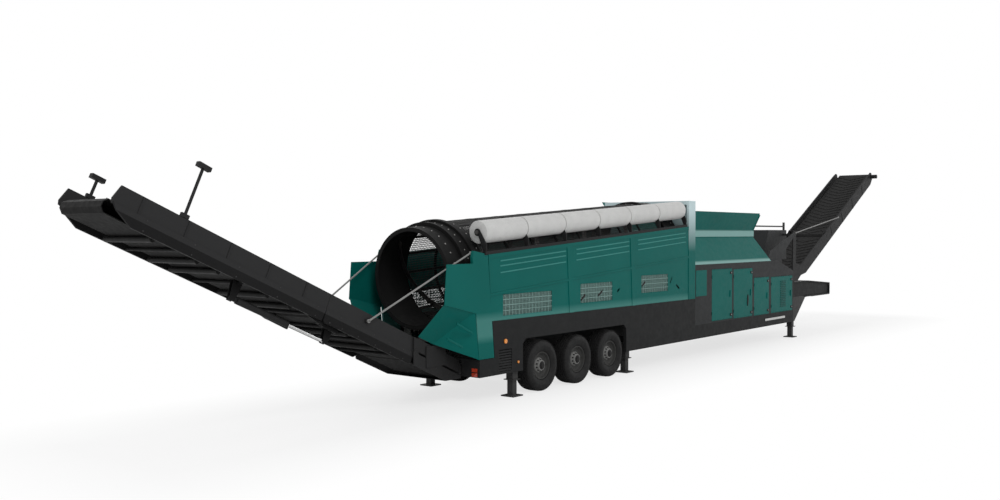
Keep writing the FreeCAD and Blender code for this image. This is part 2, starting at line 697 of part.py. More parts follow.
def drum():
    """The screen cage: a closed band at each end, riding rings, and bars and hoops between."""
    inner = "drum_radius - drum_wall"
    front_ride = "drum_length - front_ride_back"
    rear = turned("RearBand", "XZ", (
        ("0", "drum_neck - drum_lip"), ("drum_wall", "drum_neck - drum_lip"), ("drum_wall", "drum_neck - drum_wall"),
        ("neck_length + drum_wall", "drum_neck - drum_wall"), ("neck_length + drum_wall", inner), ("rear_band", inner),
        ("rear_band", "drum_radius"), ("rear_ride + ride_width / 2", "drum_radius"),
        ("rear_ride + ride_width / 2", "ride_radius"), ("rear_ride - ride_width / 2", "ride_radius"),
        ("rear_ride - ride_width / 2", "drum_radius"), ("neck_length + 60", "drum_radius"),
        ("neck_length + 60", "lip_radius"), ("neck_length", "lip_radius"), ("neck_length", "drum_neck"),
        ("0", "drum_neck")))
    front = turned("FrontBand", "XZ", (
        ("drum_length - front_band", inner), ("drum_length", inner), ("drum_length", "drum_radius"),
        (front_ride + " + ride_width / 2", "drum_radius"), (front_ride + " + ride_width / 2", "ride_radius"),
        (front_ride + " - ride_width / 2", "ride_radius"), (front_ride + " - ride_width / 2", "drum_radius"),
        ("drum_length - front_band", "drum_radius")))
    pieces = [rear, front]
    count = int(size("cage_bars"))
    for index in range(count):
        foot = "(drum_radius - cage_depth + 4)"
        stave = block("CageBar", ("rear_band - 20", "drum_length - front_band + 20"), ("-cage_bar / 2", "cage_bar / 2"),
                      (foot, "drum_radius - 3"))
        turn(stave, V(1, 0, 0), "%d * 360 / cage_bars" % index)
        angle = "(%d * 360 / cage_bars)" % index
        move(stave, "rear_band - 20", "-%s * sin(%s) - cage_bar / 2 * cos(%s)" % (foot, angle, angle),
             "%s * cos(%s) - cage_bar / 2 * sin(%s)" % (foot, angle, angle))
        pieces.append(stave)
    for index in range(1, int(size("hoops")) + 1):
        at = "rear_band + %d * (drum_length - front_band - rear_band) / (hoops + 1)" % index
        pieces.append(turned("Hoop", "XZ", (
            (at + " - hoop_width / 2", "drum_radius - cage_depth"), (at + " + hoop_width / 2", "drum_radius - cage_depth"),
            (at + " + hoop_width / 2", "drum_radius"), (at + " - hoop_width / 2", "drum_radius"))))
    node("drum_cage", [joined("DrumCage", pieces)], "drum")


def brush():
    """A roll of six bristle lengths on one shaft, held by seven arms on the wall's top rail."""
    parts = [bar("BrushShaft", "x", "brush_shaft", "6 * brush_pitch + 2 * brush_gap",
                 "brush_start - brush_gap", "-brush_side", "brush_rise")]
    for index in range(6):
        parts.append(bar("Bristles", "x", "brush_radius", "brush_pitch - brush_gap",
                         "brush_start + %d * brush_pitch + brush_gap / 2" % index, "-brush_side", "brush_rise"))
    node("brush_roll", [joined("BrushRoll", parts)], "drum")
    rail_low = "(panel_top + (drum_rear - wall_foot) * tan(tilt) - drum_height) * cos(tilt)"
    rail = block("BrushRail", ("brush_start - 40", "brush_start + 6 * brush_pitch + 60"),
                 ("-half_width + 13", "-half_width + 85"), (rail_low, rail_low + " + rail_height"))
    arms = [rail]
    for index in range(7):
        at = "brush_start + %d * brush_pitch" % index
        arm = plate("BrushArm", "YZ", (
            ("-half_width + 13", rail_low + " + rail_height - 4"), ("-half_width + 85", rail_low + " + rail_height - 4"),
            ("-brush_side - 20", "brush_rise - brush_boss + 14"), ("-brush_side - brush_boss + 12", "brush_rise + 36"),
            ("-half_width + 13", rail_low + " + rail_height + 150")), "arm_wall", at)
        boss = bar("BrushBoss", "x", "brush_boss", "arm_wall", at + " - arm_wall / 2", "-brush_side", "brush_rise")
        arms += [arm, boss]
    frame = joined("BrushFrame", arms)
    eye = bar("BrushEye", "x", "brush_shaft + shaft_play", "7 * brush_pitch", "brush_start - 300",
              "-brush_side", "brush_rise")
    node("brush_frame", [cut("BrushFrame", frame, eye)], "drum")


DOORS = (
    # name, left station, right station, foot, head
    ("a", 7680, 8920, 910, 2300),
    ("b", 9020, 10260, 890, 2270),
    ("c", 10380, 11430, 880, 1980),
    ("d", 11600, 13220, 880, 1960),
)


def house():
    """The engine house under the hopper: walls with door frames, a roof ahead of the hopper and an engine."""
    wall = plate("HouseWall", "XZ", (
        ("end_frame_front", "sill_top"), ("house_front", "sill_top"), ("house_front", "house_front_top"),
        ("roof_bend", "house_top"), ("end_frame_front", "house_top")), "skirt_wall", "-(half_width - skirt_wall / 2)")
    for name, left, right, foot, head in DOORS:
        hole = block("DoorHole", ("%d - door_gap" % left, "%d + door_gap" % right),
                     ("-half_width - 5", "-half_width + skirt_wall + 5"), ("%d - door_gap" % foot, "%d + door_gap" % head))
        wall = cut("HouseWall", wall, hole)
    front = block("HouseFront", ("house_front - skirt_wall", "house_front"),
                  ("-half_width + skirt_wall", "half_width - skirt_wall"), ("neck_top", "house_front_top - skirt_wall"))
    beside = block("HouseFrontSide", ("house_front - skirt_wall", "house_front"),
                   ("-half_width + skirt_wall", "-beam_out - 5"), ("sill_top", "neck_top + 10"))
    roof = plate("HouseRoof", "XZ", (
        ("hood_foot_front", "house_top"), ("roof_bend", "house_top"), ("house_front", "house_front_top"),
        ("house_front", "house_front_top - skirt_wall - 10"), ("roof_bend", "house_top - skirt_wall"),
        ("hood_foot_front", "house_top - skirt_wall")), "2 * (half_width - skirt_wall) + 4")
    node("house_walls", [joined("HouseWalls", both(wall) + both(beside) + [front, roof])])
    panel = block("FixedPanel", ("6755", "7360"), ("-half_width - 8", "-half_width"), ("1620", "2300"))
    node("fixed_panels", both(panel))
    node("engine", [block("Engine", ("8100", "9900"), ("-400", "400"), ("beam_top", "1980"))])
    floor = block("HouseFloor", ("end_frame_front", "house_front - skirt_wall"),
                  ("beam_out", "half_width - door_skin - 8"), ("outrigger_top", "outrigger_top + 6"))
    node("house_floor", both(floor))


def door(name, left, right, foot, head, side):
    """One flush door with a turned edge, a pull bar and two hinge barrels at its rear edge."""
    leaf = block("DoorLeaf", (str(left), str(right)), ("-half_width", "-half_width + door_skin"), (str(foot), str(head)))
    lever = block("DoorPull", ("%d - 150" % right, "%d - 118" % right), ("-half_width - 22", "-half_width + 2"),
                  ("(%d + %d) / 2 - 90" % (foot, head), "(%d + %d) / 2 + 90" % (foot, head)))
    knuckles = [bar("DoorHinge", "z", "door_hinge", "90", str(left), "-half_width - door_hinge + 2", at)
                for at in ("%d + 160" % foot, "%d - 250" % head)]
    whole = joined("Door", [leaf, lever] + knuckles)
    node("door_%s_%s" % (side, name), [whole if side == "near" else mirrored(whole)])


def hopper():
    """Sloping hood, gutter band and flared hopper walls over a feeder belt."""
    outer = doc.addObject("Part::Wedge", "HoodOuter")
    inner = doc.addObject("Part::Wedge", "HoodInner")
    for wedge, skin, rise in ((outer, "0", "0"), (inner, "hood_skin", "1")):
        bind(wedge, Xmin="end_frame_front", Xmax="hood_foot_front - " + skin, X2min="end_frame_front",
             X2max="hood_top_front - " + skin, Zmin="-half_width + " + skin, Zmax="half_width - " + skin,
             Z2min="-hood_half + " + skin, Z2max="hood_half - " + skin, Ymin="house_top - " + rise,
             Ymax="hood_top + " + rise)
        wedge.Placement = FreeCAD.Placement(V(), FreeCAD.Rotation(V(1, 0, 0), 90))
    hood = cut("Hood", outer, inner)
    node("hopper_hood", [hood])
    rim = block("GutterOuter", ("end_frame_front", "hood_top_front + gutter_lip"),
                ("-hood_half - gutter_lip", "hood_half + gutter_lip"), ("hood_top", "gutter_top"))
    hole = block("GutterInner", ("end_frame_front - 1", "hood_top_front - hood_skin"),
                 ("-hood_half + hood_skin", "hood_half - hood_skin"), ("hood_top - 1", "gutter_top + 1"))
    back = size("end_frame_front")
    front = size("hood_top_front")
    half = size("hood_half")
    foot = size("gutter_top") - 6
    tops = ((-1, size("half_width"), size("flare_top")), (1, size("far_flare_half"), size("far_flare_top")))
    panels = []
    for side, reach, top in tops:
        low, high = (back, side * half, foot), (back, side * reach, top)
        low_front, high_front = (front, side * half, foot), (size("flare_front"), side * reach, top)
        run = (low, low_front, high_front, high)
        panels.append(run if side > 0 else run[::-1])
    flares = sheet_metal("Flare", panels[:1], size("hood_skin"))
    far = sheet_metal("FarFlare", panels[1:], size("hood_skin"))
    nose = plate("FlareNose", "YZ", (
        ("-hood_half", "gutter_top - 6"), ("hood_half", "gutter_top - 6"), ("far_flare_half - 4", "far_flare_top - 4"),
        ("0", "flare_top"), ("-half_width + 4", "flare_top - 2")), "hood_skin", "0")
    turn(nose, V(0, 1, 0), "-atan((hood_top_front - flare_front) / (far_flare_top - gutter_top))")
    move(nose, "hood_top_front + (gutter_top - 6) * (hood_top_front - flare_front) / (far_flare_top - gutter_top) - 8",
         "0", "0")
    node("hopper", [joined("Hopper", [cut("Gutter", rim, hole), flares, far, nose])])


def root_belts():
    """Feeder belt under the hopper and collecting belt under the drum, each a closed loop."""
    loops = [loop("Feeder", "feeder_rear", "feeder_front", "belt_half", "feeder_top", "feeder_depth"),
             loop("Collector", "collector_rear", "collector_front", "collector_half", "collector_top",
                  "collector_depth")]
    node("fixed_belts", loops + [tail_foot_belt()])


def loop(name, start, end, half, top, depth):
    """A flat belt loop with square ends bevelled round its pulleys, the bevel 0.3 of its depth."""
    bevel = "0.3 * " + depth
    foot = "%s - %s" % (top, depth)
    outer = plate(name + "Loop", "XZ", (
        ("%s + %s" % (start, bevel), top), ("%s - %s" % (end, bevel), top), (end, "%s - %s" % (top, bevel)),
        (end, "%s + %s" % (foot, bevel)), ("%s - %s" % (end, bevel), foot), ("%s + %s" % (start, bevel), foot),
        (start, "%s + %s" % (foot, bevel)), (start, "%s - %s" % (top, bevel))), "2 * " + half)
    left, right, roof, floor = start + " + belt_skin", end + " - belt_skin", top + " - belt_skin", foot + " + belt_skin"
    bend = bevel + " + belt_bend"
    inner = plate(name + "Void", "XZ", (
        ("%s + %s" % (start, bend), roof), ("%s - (%s)" % (end, bend), roof), (right, "%s - (%s)" % (top, bend)),
        (right, "%s + %s" % (foot, bend)), ("%s - (%s)" % (end, bend), floor), ("%s + %s" % (start, bend), floor),
        (left, "%s + %s" % (foot, bend)), (left, "%s - (%s)" % (top, bend))), "2 * %s + 2" % half)
    return cut(name + "Belt", outer, inner)


def tail_foot_belt():
    """The foot's length of the oversize belt, in the tail conveyor's slope."""
    run = "(tail_foot - tail_break) / cos(tail_slope)"
    belt = loop("TailFoot", "-(%s) + 60" % run, "-12", "belt_half", "-skirt_board", "foot_belt_depth")
    belt.Placement = FreeCAD.Placement(V(), FreeCAD.Rotation(V(0, 0, 1), 180))
    held = grouped("TailFootBelt", [belt])
    turn(held, V(0, 1, 0), "tail_slope")
    return move(held, "tail_break", "0", "tail_foot_top + (tail_foot - tail_break) * tan(tail_slope)")


def tail_foot():
    """The fixed foot of the tail conveyor: cheeks and boards outside the lifting length, with its pivot pins."""
    def line(station, drop):
        rise = "tail_foot_top + (tail_foot - (%s)) * tan(tail_slope) - %s / cos(tail_slope)"
        return station, rise % (station, drop)
    cheek = plate("FootCheek", "XZ", (
        ("tail_foot", "foot_low"), line("tail_foot", "skirt_board"), line("tail_break - 20", "skirt_board"),
        ("tail_break - 50", LIFT[1] + " + 70"), ("tail_break - 150", LIFT[1] + " + 60"),
        ("tail_break - 165", LIFT[1] + " - 20"), line("tail_break - 140", "head_depth"), ("foot_kink", "foot_low")),
        "24", "-(tail_half + cheek_gap + 12)")
    board = plate("FootBoard", "XZ", (
        line("tail_foot", "skirt_board + 20"), line("tail_foot", "0"), line("tail_break - 140", "0"),
        line("tail_break - 140", "skirt_board - 40"), line("tail_break - 20", "skirt_board + 20")),
        "foot_board", "-(tail_half + cheek_gap + foot_board / 2)")
    cover = block("FootCover", ("cover_rear", "cover_front"), ("-(tail_half + 46)", "-(tail_half + cheek_gap + 12)"),
                  ("cover_low", "cover_top"))
    pin = bar("LiftPin", "y", "lift_pin", "cheek_gap + 20 + tail_web + 10", LIFT[0], "-(tail_half + cheek_gap + 20)", LIFT[1])
    pan = block("FootPan", ("foot_kink", "tail_foot"), ("-tail_half - cheek_gap - 20", "tail_half + cheek_gap + 20"),
                ("foot_low", "foot_low + 10"))
    back = block("FootBack", ("tail_foot", "tail_foot + 60"), ("-tail_half - cheek_gap - 24", "tail_half + cheek_gap + 24"),
                 ("foot_low", "tail_foot_top - 60"))
    near = [cheek, board, cover, pin]
    node("tail_foot_frame", [joined("TailFoot", near + [mirrored(one) for one in near] + [pan, back])])


def side_web(name, outline, half, web):
    return plate(name, "XZ", outline, web, "-(%s - (%s) / 2)" % (half, web))


def round_lug(name, radius, x, z, low, high):
    """A round boss between two distances from the centre plane, on the near side."""
    return bar(name, "y", radius, "(%s) - (%s)" % (high, low), x, "-(%s)" % high, z)


MID_RUN = "(tail_break - tail_joint) / cos(tail_slope)"
HEAD_RUN = "(tail_joint - tail_end) / cos(head_slope)"
FOLD_X = MID_RUN + " - head_depth * sin(tail_slope - head_slope)"
FOLD_Z = "-head_depth * cos(tail_slope - head_slope)"


def tail_mid():
    """The lifting length: side webs with pivot bosses, board ledges, cross tubes, hinge lugs and the ram's bracket."""
    board = side_web("MidBoard", (("20", "0"), (MID_RUN, "0"), (MID_RUN, "-skirt_board - 20"), ("20", "-skirt_board - 20")),
                     "(tail_half - board_step)", "tail_web - board_step")
    beam = side_web("MidBeam", (
        ("20", "-skirt_board"), (MID_RUN, "-skirt_board"), (MID_RUN, "-head_depth + 20"),
        (MID_RUN + " - 60", "-head_depth - 10"), (MID_RUN + " - 240", "-mid_depth"), ("80", "-mid_depth"),
        ("20", "-mid_depth + 50")), "tail_half", "tail_web")
    boss = round_lug("LiftBoss", "70", "0", "-skirt_board", "tail_half - tail_web", "tail_half")
    ledge = side_web("MidLedge", (("30", "-skirt_board - 30"), (MID_RUN + " - 10", "-skirt_board - 30"),
                                  (MID_RUN + " - 10", "-skirt_board"), ("30", "-skirt_board")),
                     "tail_half - tail_web + 6", "90")
    lug = plate("FoldLug", "XZ", (
        (MID_RUN + " - 440", "-435"), (MID_RUN + " - 120", "-435"), (FOLD_X + " + 50", FOLD_Z + " + 40"),
        (FOLD_X + " + 50", FOLD_Z + " - 50"), (FOLD_X + " - 50", FOLD_Z + " - 60"), (MID_RUN + " - 440", FOLD_Z + " - 70")),
        "36", "-(tail_half - tail_web - 67)")
    pin = round_lug("FoldPin", "fold_pin", FOLD_X, FOLD_Z, "tail_half - tail_web - 85", "tail_half - tail_web - 6")
    bracket = [plate("RamBracket", "XZ", (
        (FOLD_X + " - ram_back - 90", FOLD_Z + " + 50"), (FOLD_X + " - ram_back + 90", FOLD_Z + " + 50"),
        (FOLD_X + " - ram_back + 50", FOLD_Z + " - ram_low - 45"),
        (FOLD_X + " - ram_back - 50", FOLD_Z + " - ram_low - 45")), "ram_plate", centre)
        for centre in ("ram_side - ram_cheek", "ram_side + ram_cheek")]
    stay_lug = round_lug("StayLug", "40", "stay_foot_along", "-stay_foot_drop",
                         "tail_half - board_step - 4", "tail_half + 26")
    near = [board, beam, boss, ledge, lug, pin, stay_lug]
    ties = [bar("MidTie", "y", "tail_tie", "2 * (tail_half - tail_web) + 20", x, "-(tail_half - tail_web) - 10",
                "-tail_tie_drop") for x in ("0.2 * " + MID_RUN, "0.55 * " + MID_RUN, FOLD_X + " - ram_back")]
    whole = joined("TailMid", near + [mirrored(one) for one in near] + bracket + ties)
    bores = round_lug("LiftBore", "lift_pin + shaft_play", "0", "-skirt_board", "tail_half - tail_web - 5", "tail_half + 5")
    node("tail_mid_frame", [cut("TailMid", whole, *both(bores))], "tail_mid")
    belt = loop("TailMid", "2", MID_RUN + " - 8", "belt_half", "-skirt_board", "mid_belt_depth")
    node("tail_mid_belt", [belt], "tail_mid")


def tail_head():
    """The folding head length with its hinge lugs, ram seat and cross tubes, and the posts for its lamps."""
    board = side_web("HeadBoard", (
        ("8", "0"), (HEAD_RUN + " - 65", "0"), (HEAD_RUN, "-215"), (HEAD_RUN + " - 20", "-skirt_board - 20"),
        ("8", "-skirt_board - 20")), "(tail_half - board_step)", "tail_web - board_step")
    beam = side_web("HeadBeam", (
        ("8", "-skirt_board"), (HEAD_RUN + " - 30", "-skirt_board"), (HEAD_RUN + " - 125", "-348"),
        (HEAD_RUN + " - 410", "-head_depth"), ("34", "-head_depth")), "tail_half", "tail_web")
    lug = plate("HeadLug", "XZ", (
        ("-50", "-head_depth - 50"), ("50", "-head_depth - 50"), ("380", "-head_depth + 10"), ("380", "-430"),
        ("60", "-430"), ("-50", "-head_depth + 40")), "36", "-(tail_half - tail_web - 24)")
    seat = [plate("RamSeat", "XZ", (
        ("ram_seat - 90", "-440"), ("ram_seat + 90", "-440"), ("ram_seat + 45", "-ram_seat_drop - 45"),
        ("ram_seat - 45", "-ram_seat_drop - 45")), "ram_plate", centre)
        for centre in ("ram_side - ram_cheek", "ram_side + ram_cheek")]
    pin = bar("RamPin", "y", "ram_pin", "2 * ram_cheek + ram_plate", "ram_seat",
              "ram_side - ram_cheek - ram_plate / 2", "-ram_seat_drop")
    near = [board, beam, lug]
    ties = [bar("HeadTie", "y", "tail_tie", "2 * (tail_half - tail_web) + 20", x, "-(tail_half - tail_web) - 10",
                "-tail_tie_drop") for x in ("300", "ram_seat", "0.7 * " + HEAD_RUN)]
    whole = joined("TailHead", near + [mirrored(one) for one in near] + seat + [pin] + ties)
    bores = round_lug("FoldBore", "fold_pin + shaft_play", "0", "-head_depth", "tail_half - tail_web - 46",
                      "tail_half - tail_web + 2")
    node("tail_head_frame", [cut("TailHead", whole, *both(bores))], "tail_head")
    belt = loop("TailHead", "12", HEAD_RUN + " + 20", "belt_half", "-skirt_board + 60", "head_belt_depth")
    node("tail_head_belt", [belt], "tail_head")
    posts = [mirrored(lamp_post("lamp_post_at", "lamp_post")), lamp_post("far_post_at", "far_post")]
    node("lamp_posts", posts, "tail_head")


def lamp_post(station, rise):
    """A round post on the far board's top edge, with a lamp box at its head."""
    post = bar("LampPost", "z", "24", rise + " + 30", station, "-tail_half + 27", "0")
    head = block("LampHead", (station + " - 115", station + " + 115"), ("-tail_half - 25", "-tail_half + 65"),
                 (rise, rise + " + 70"))
    foot = block("LampFoot", (station + " - 70", station + " + 70"), ("-tail_half + 3", "-tail_half + tail_web + 11"),
                 ("0", "60"))
    return joined("LampPost", [post, head, foot])


def rams():
    """The ram that folds the head length, on the near side: barrel on the head's seat, rod to the lifting length."""
    barrel = bar("Barrel", "x", "barrel_radius", "barrel_end - barrel_start", "barrel_start", "-ram_side")
    eye = bar("BarrelEye", "y", "42", "2 * ram_eye", "0", "-ram_side - ram_eye")
    neck = block("BarrelNeck", ("20", "barrel_start + 6"), ("-ram_side - 20", "-ram_side + 20"), ("-34", "34"))
    bore = bar("BarrelBore", "x", "ram_rod + shaft_play", "barrel_end", "barrel_start + 20", "-ram_side")
    pin = bar("BarrelPin", "y", "ram_pin + shaft_play", "2 * ram_cheek", "0", "-ram_side - ram_cheek")
    node("ram_barrels", [cut("Barrel", joined("Barrel", [barrel, eye, neck]), bore, pin)], "ram")
    rod = bar("RamRod", "x", "ram_rod", "ram_reach - rod_start - 20", "rod_start", "-ram_side")
    end = bar("RodEye", "y", "38", "2 * ram_eye - 4", "ram_reach", "-ram_side - ram_eye + 2")
    hole = bar("RodHole", "y", "ram_pin + 1", "2 * ram_cheek", "ram_reach", "-ram_side - ram_cheek")
    node("ram_rods", [cut("RamRod", joined("RamRod", [rod, end]), hole)], "ram")


def stays():
    """Stay bars from the wings down to the lifting length's rails, an eye at each end."""
    top = V(size("stay_station"), -size("stay_side"), size("stay_height"))
    foot = V(size("stay_foot_station"), -size("stay_foot_side"), size("stay_foot_height"))
    run = foot - top
    rod = doc.addObject("Part::Cylinder", "StayBar")
    rod.setExpression("Radius", cells("tie_radius"))
    rod.setExpression("Height", cells(
        "sqrt((stay_foot_station - stay_station) ^ 2 + (stay_side - stay_foot_side) ^ 2"
        " + (stay_height - stay_foot_height) ^ 2)"))
    rod.Placement = FreeCAD.Placement(top, FreeCAD.Rotation(UP, run))
    eyes = [bar("StayEye", "y", "stay_eye_radius", "stay_eye", "stay_" + end + "station",
                "-stay_" + end + "side - stay_eye / 2", "stay_" + end + "height") for end in ("", "foot_")]
    holes = [bar("StayHole", "y", "stay_pin + shaft_play", "stay_eye + 40", "stay_" + end + "station",
                 "-stay_" + end + "side - stay_eye / 2 - 20", "stay_" + end + "height") for end in ("", "foot_")]
    whole = cut("Stay", joined("Stay", [rod] + eyes), *holes)
    node("tail_stays", both(whole))


def fines_lower():
    """The foot length of the fines conveyor, with its pivot bores and the lugs that the upper length folds on."""
    web = side_web("FinesWeb", (("0", "0"), ("fines_joint - 6", "0"), ("fines_joint - 6", "-fines_depth"),
                                ("420", "-fines_depth"), ("0", "-fines_depth + 130")), "fines_half", "fines_web")
    lug = plate("FinesLug", "XZ", (
        ("fines_joint - 220", "-140"), ("fines_joint - 6", "-140"), ("fines_joint + 36", "fines_fold_rise - 20"),
        ("fines_joint + 30", "fines_fold_rise + 36"), ("fines_joint - 36", "fines_fold_rise + 36"),
        ("fines_joint - 220", "-10")), "32", "-(fines_half - fines_web - 20)")
    spacer = block("FinesLowSpacer", ("fines_joint - 210", "fines_joint - 12"),
                   ("-(fines_half - fines_web + 2)", "-(fines_half - fines_web - 8)"), ("-134", "-24"))
    pin = round_lug("FinesFoldPin", "fines_fold_pin", "fines_joint", "fines_fold_rise", "fines_half - fines_web - 76",
                    "fines_half - fines_web - 10")
    near = [web, lug, spacer, pin]
    ties = [bar("FinesTie", "y", "fines_tie", "2 * (fines_half - fines_web) + 20", "%g * fines_joint" % part,
                "-(fines_half - fines_web) - 10", "-fines_tie_drop") for part in (0.19, 0.56, 0.9)]
    whole = joined("FinesLower", near + [mirrored(one) for one in near] + ties)
    bore = round_lug("FinesBore", "fines_pin + shaft_play", "fines_pin_along", "-fines_pin_drop",
                     "fines_half - fines_web - 5", "fines_half + 5")
    node("fines_lower_frame", [cut("FinesLower", whole, *both(bore))], "fines")
    belt = loop("FinesLower", "20", "fines_joint - 8", "belt_half", "-fines_board", "lower_belt_depth")
    node("fines_lower_belt", [belt], "fines")


def fines_upper():
    """The upper length of the fines conveyor, its fold lugs, stay lugs and the drive motor at its head."""
    web = side_web("FinesTop", (("fines_joint + 6", "0"), ("fines_length - 80", "0"), ("fines_length", "-70"),
                                ("fines_length", "-300"), ("fines_length - 300", "-fines_depth"),
                                ("fines_joint + 6", "-fines_depth")), "fines_half", "fines_web")
    lug = plate("FinesTopLug", "XZ", (
        ("fines_joint - 34", "fines_fold_rise + 4"), ("fines_joint + 20", "-6"), ("fines_joint + 66", "-140"),
        ("fines_joint + 210", "-140"), ("fines_joint + 210", "-6"), ("fines_joint + 20", "fines_fold_rise + 36"),
        ("fines_joint - 24", "fines_fold_rise + 36")), "30", "-(fines_half - fines_web - 57)")
    spacer = block("FinesSpacer", ("fines_joint + 70", "fines_joint + 210"),
                   ("-(fines_half - fines_web + 2)", "-(fines_half - fines_web - 60)"), ("-136", "-10"))
    stay = round_lug("FinesStayLug", "40", "fines_stay_along", "-fines_stay_drop", "fines_half - 2", "fines_half + 44")
    near = [web, lug, spacer]
    ties = [bar("FinesTopTie", "y", "fines_tie", "2 * (fines_half - fines_web) + 20",
                "fines_joint + %g * (fines_length - fines_joint)" % part, "-(fines_half - fines_web) - 10",
                "-fines_tie_drop") for part in (0.08, 0.36, 0.63, 0.86)]
    motor = bar("HeadMotor", "y", "75", "230", "fines_length - 120", "-fines_half - 225", "-160")
    whole = joined("FinesUpper", near + [mirrored(one) for one in near] + ties + [motor, stay])
    bore = round_lug("FinesFoldBore", "fines_fold_pin + shaft_play", "fines_joint", "fines_fold_rise",
                     "fines_half - fines_web - 80", "fines_half - fines_web - 36")
    node("fines_upper_frame", [cut("FinesUpper", whole, *both(bore))], "fines")
    belt = loop("FinesUpper", "fines_joint + 8", "fines_length + 60", "belt_half", "-fines_board + 40", "upper_belt_depth")
    node("fines_upper_belt", [belt], "fines")


def fines_stay():
    """The stay bar from the near slewing post to the upper length of the fines conveyor."""
    rod = bar("FinesStay", "x", "tie_radius", "tie_length", "0", "-tie_side", "0")
    eyes = [round_lug("FinesStayEye", "32", x, "0", "tie_side - 12", "tie_side + 12") for x in ("0", "tie_length")]
    holes = [round_lug("FinesStayHole", "stay_pin + shaft_play", x, "0", "tie_side - 30", "tie_side + 30")
             for x in ("0", "tie_length")]
    node("fines_stay", [cut("FinesStay", joined("FinesStay", [rod] + eyes), *holes)], "tie")


def turntable():
    """The slewing base: a disc on the neck, side arms with the conveyor's pivot pins and the posts for its stays."""
    disc = bar("SlewDisc", "z", "slew_radius", "slew_plate", "slew_station", "0", "neck_top + 20 + seat_gap")
    beam = block("SlewBeam", ("slew_station - 560", "slew_station - 200"), ("-fines_half - 48", "fines_half + 48"),
                 ("neck_top + 20 + seat_gap + slew_plate - 2", "neck_top + 20 + seat_gap + slew_plate + 30"))
    arm = plate("SlewArm", "XZ", (
        ("post_rear", "1700"), ("slew_station - 200", "1700"), ("slew_station + 180", "1930"),
        (FINES_PIN[0] + " + 90", FINES_PIN[1] + " - 70"), (FINES_PIN[0] + " + 70", FINES_PIN[1] + " + 80"),
        ("slew_station + 180", "2190"), ("post_front", "2300"), ("post_front", "post_top"),
        ("post_rear + 40", "post_top"), ("post_rear", "2400")), "36", "-(fines_half + 12 + 18)")
    pin = round_lug("FinesPin", "fines_pin", FINES_PIN[0], FINES_PIN[1], "fines_half - fines_web - 6", "fines_half + 20")
    stay_pin = round_lug("FinesStayPin", "stay_pin", "tie_station", "tie_height", "fines_half + 40", "tie_side + 16")
    node("slew_base", [joined("SlewBase", [disc, beam] + both(arm) + both(pin) + [stay_pin])])


def fittings():
    """Lamps on the near and far skirts and the level rail over the transfer boot."""
    lamps = []
    for station, height, radius in ((-1270, 1150, 46), (-860, 700, 26)):
        lamps += both(bar("Lamp", "y", str(radius), "16", str(station), "-half_width - 16", str(height)))
    for height in (560, 650):
        lamps += both(block("Marker", ("skirt_rear - 14", "skirt_rear"), ("-half_width + 60", "-half_width + 190"),
                            ("%d" % (height - 35), "%d" % (height + 35))))
    node("lamps", lamps)
    run = bar("HandRail", "x", "rail_radius", "rail_end - rail_station", "rail_station", "-rail_side", "rail_level")
    hook = bar("RailHook", "z", "rail_radius + 14", "rail_level - boot_top + 130", "rail_end", "-rail_side", "boot_top")
    pad = block("RailPad", ("hood_top_front + gutter_lip", "rail_station + 20"), ("-rail_side - 40", "-rail_side + 40"),
                ("gutter_top - 60", "rail_level + 30"))
    node("boot_rail", [joined("BootRail", [run, hook, pad])])


ROOF = "house_top - ((%s) - roof_bend) * (house_top - house_front_top) / (house_front - roof_bend)"


def boot():
    """The hood where the collecting belt throws its load on to the fines conveyor."""
    outer = plate("BootOuter", "XZ", (
        ("12300", "house_top"), ("boot_front", "house_top"), ("boot_front", "boot_top"), ("boot_rear", "boot_top")),
        "2 * boot_half")
    inner = plate("BootInner", "XZ", (
        ("12320", "house_top - 10"), ("boot_front + 10", "house_top - 10"), ("boot_front + 10", "boot_top - 420"),
        ("boot_front - 12", "boot_top - 400"), ("boot_front - 12", "boot_top - 12"), ("boot_rear + 5", "boot_top - 12")),
        "2 * boot_half - 24")
    node("transfer_boot", [cut("Boot", outer, inner)])
    arm = plate("BootArm", "XZ", (
        ("roof_bend - 300", "house_top"), ("roof_bend", "house_top"), ("roof_bend + 800", ROOF % "roof_bend + 800"),
        ("roof_bend + 840", "2590"), ("boot_front - 130", "boot_top - 130"), ("boot_front - 250", "boot_top - 80"),
        ("roof_bend + 1190", "3110"), ("roof_bend - 90", "2720")), "20", "-boot_arm_side")
    tie = block("BootTie", ("boot_front - 330", "boot_front - 230"), ("-boot_arm_side - 8", "-boot_half"),
                ("boot_top - 180", "boot_top - 120"))
    node("boot_frame", both(joined("BootArm", [arm, tie])))


chassis()
skirts()
axles()
jacks()
housing()
end_frame()
rear_wings()
trunnions()
drum()
brush()
house()
for entry in DOORS:
    door(*entry, "near")
    door(*entry, "far")
hopper()
root_belts()
tail_foot()
tail_mid()
tail_head()
rams()
stays()
turntable()
fines_lower()
fines_upper()
fines_stay()
boot()
fittings()
for number, station in enumerate(AXLES, start=1):
    wheel(number, station, "near")
    wheel(number, station, "far")

doc.recompute()
for piece in doc.Objects:
    state = list(getattr(piece, "State", []))
    if "Invalid" in state or "Error" in state:
        raise RuntimeError("%s did not build: %s" % (piece.Label, state))
for piece in nodes:
    shape = piece.Shape
    if shape.isNull() or not shape.isValid() or not shape.Solids:
        raise RuntimeError("%s has no valid solid" % piece.Label)
    shape.exportStep("parts/%s.step" % piece.Label)
    print("%-20s solids %2d volume %.4f m3" % (piece.Label, len(shape.Solids), shape.Volume / 1e9))
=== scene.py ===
import json
import math

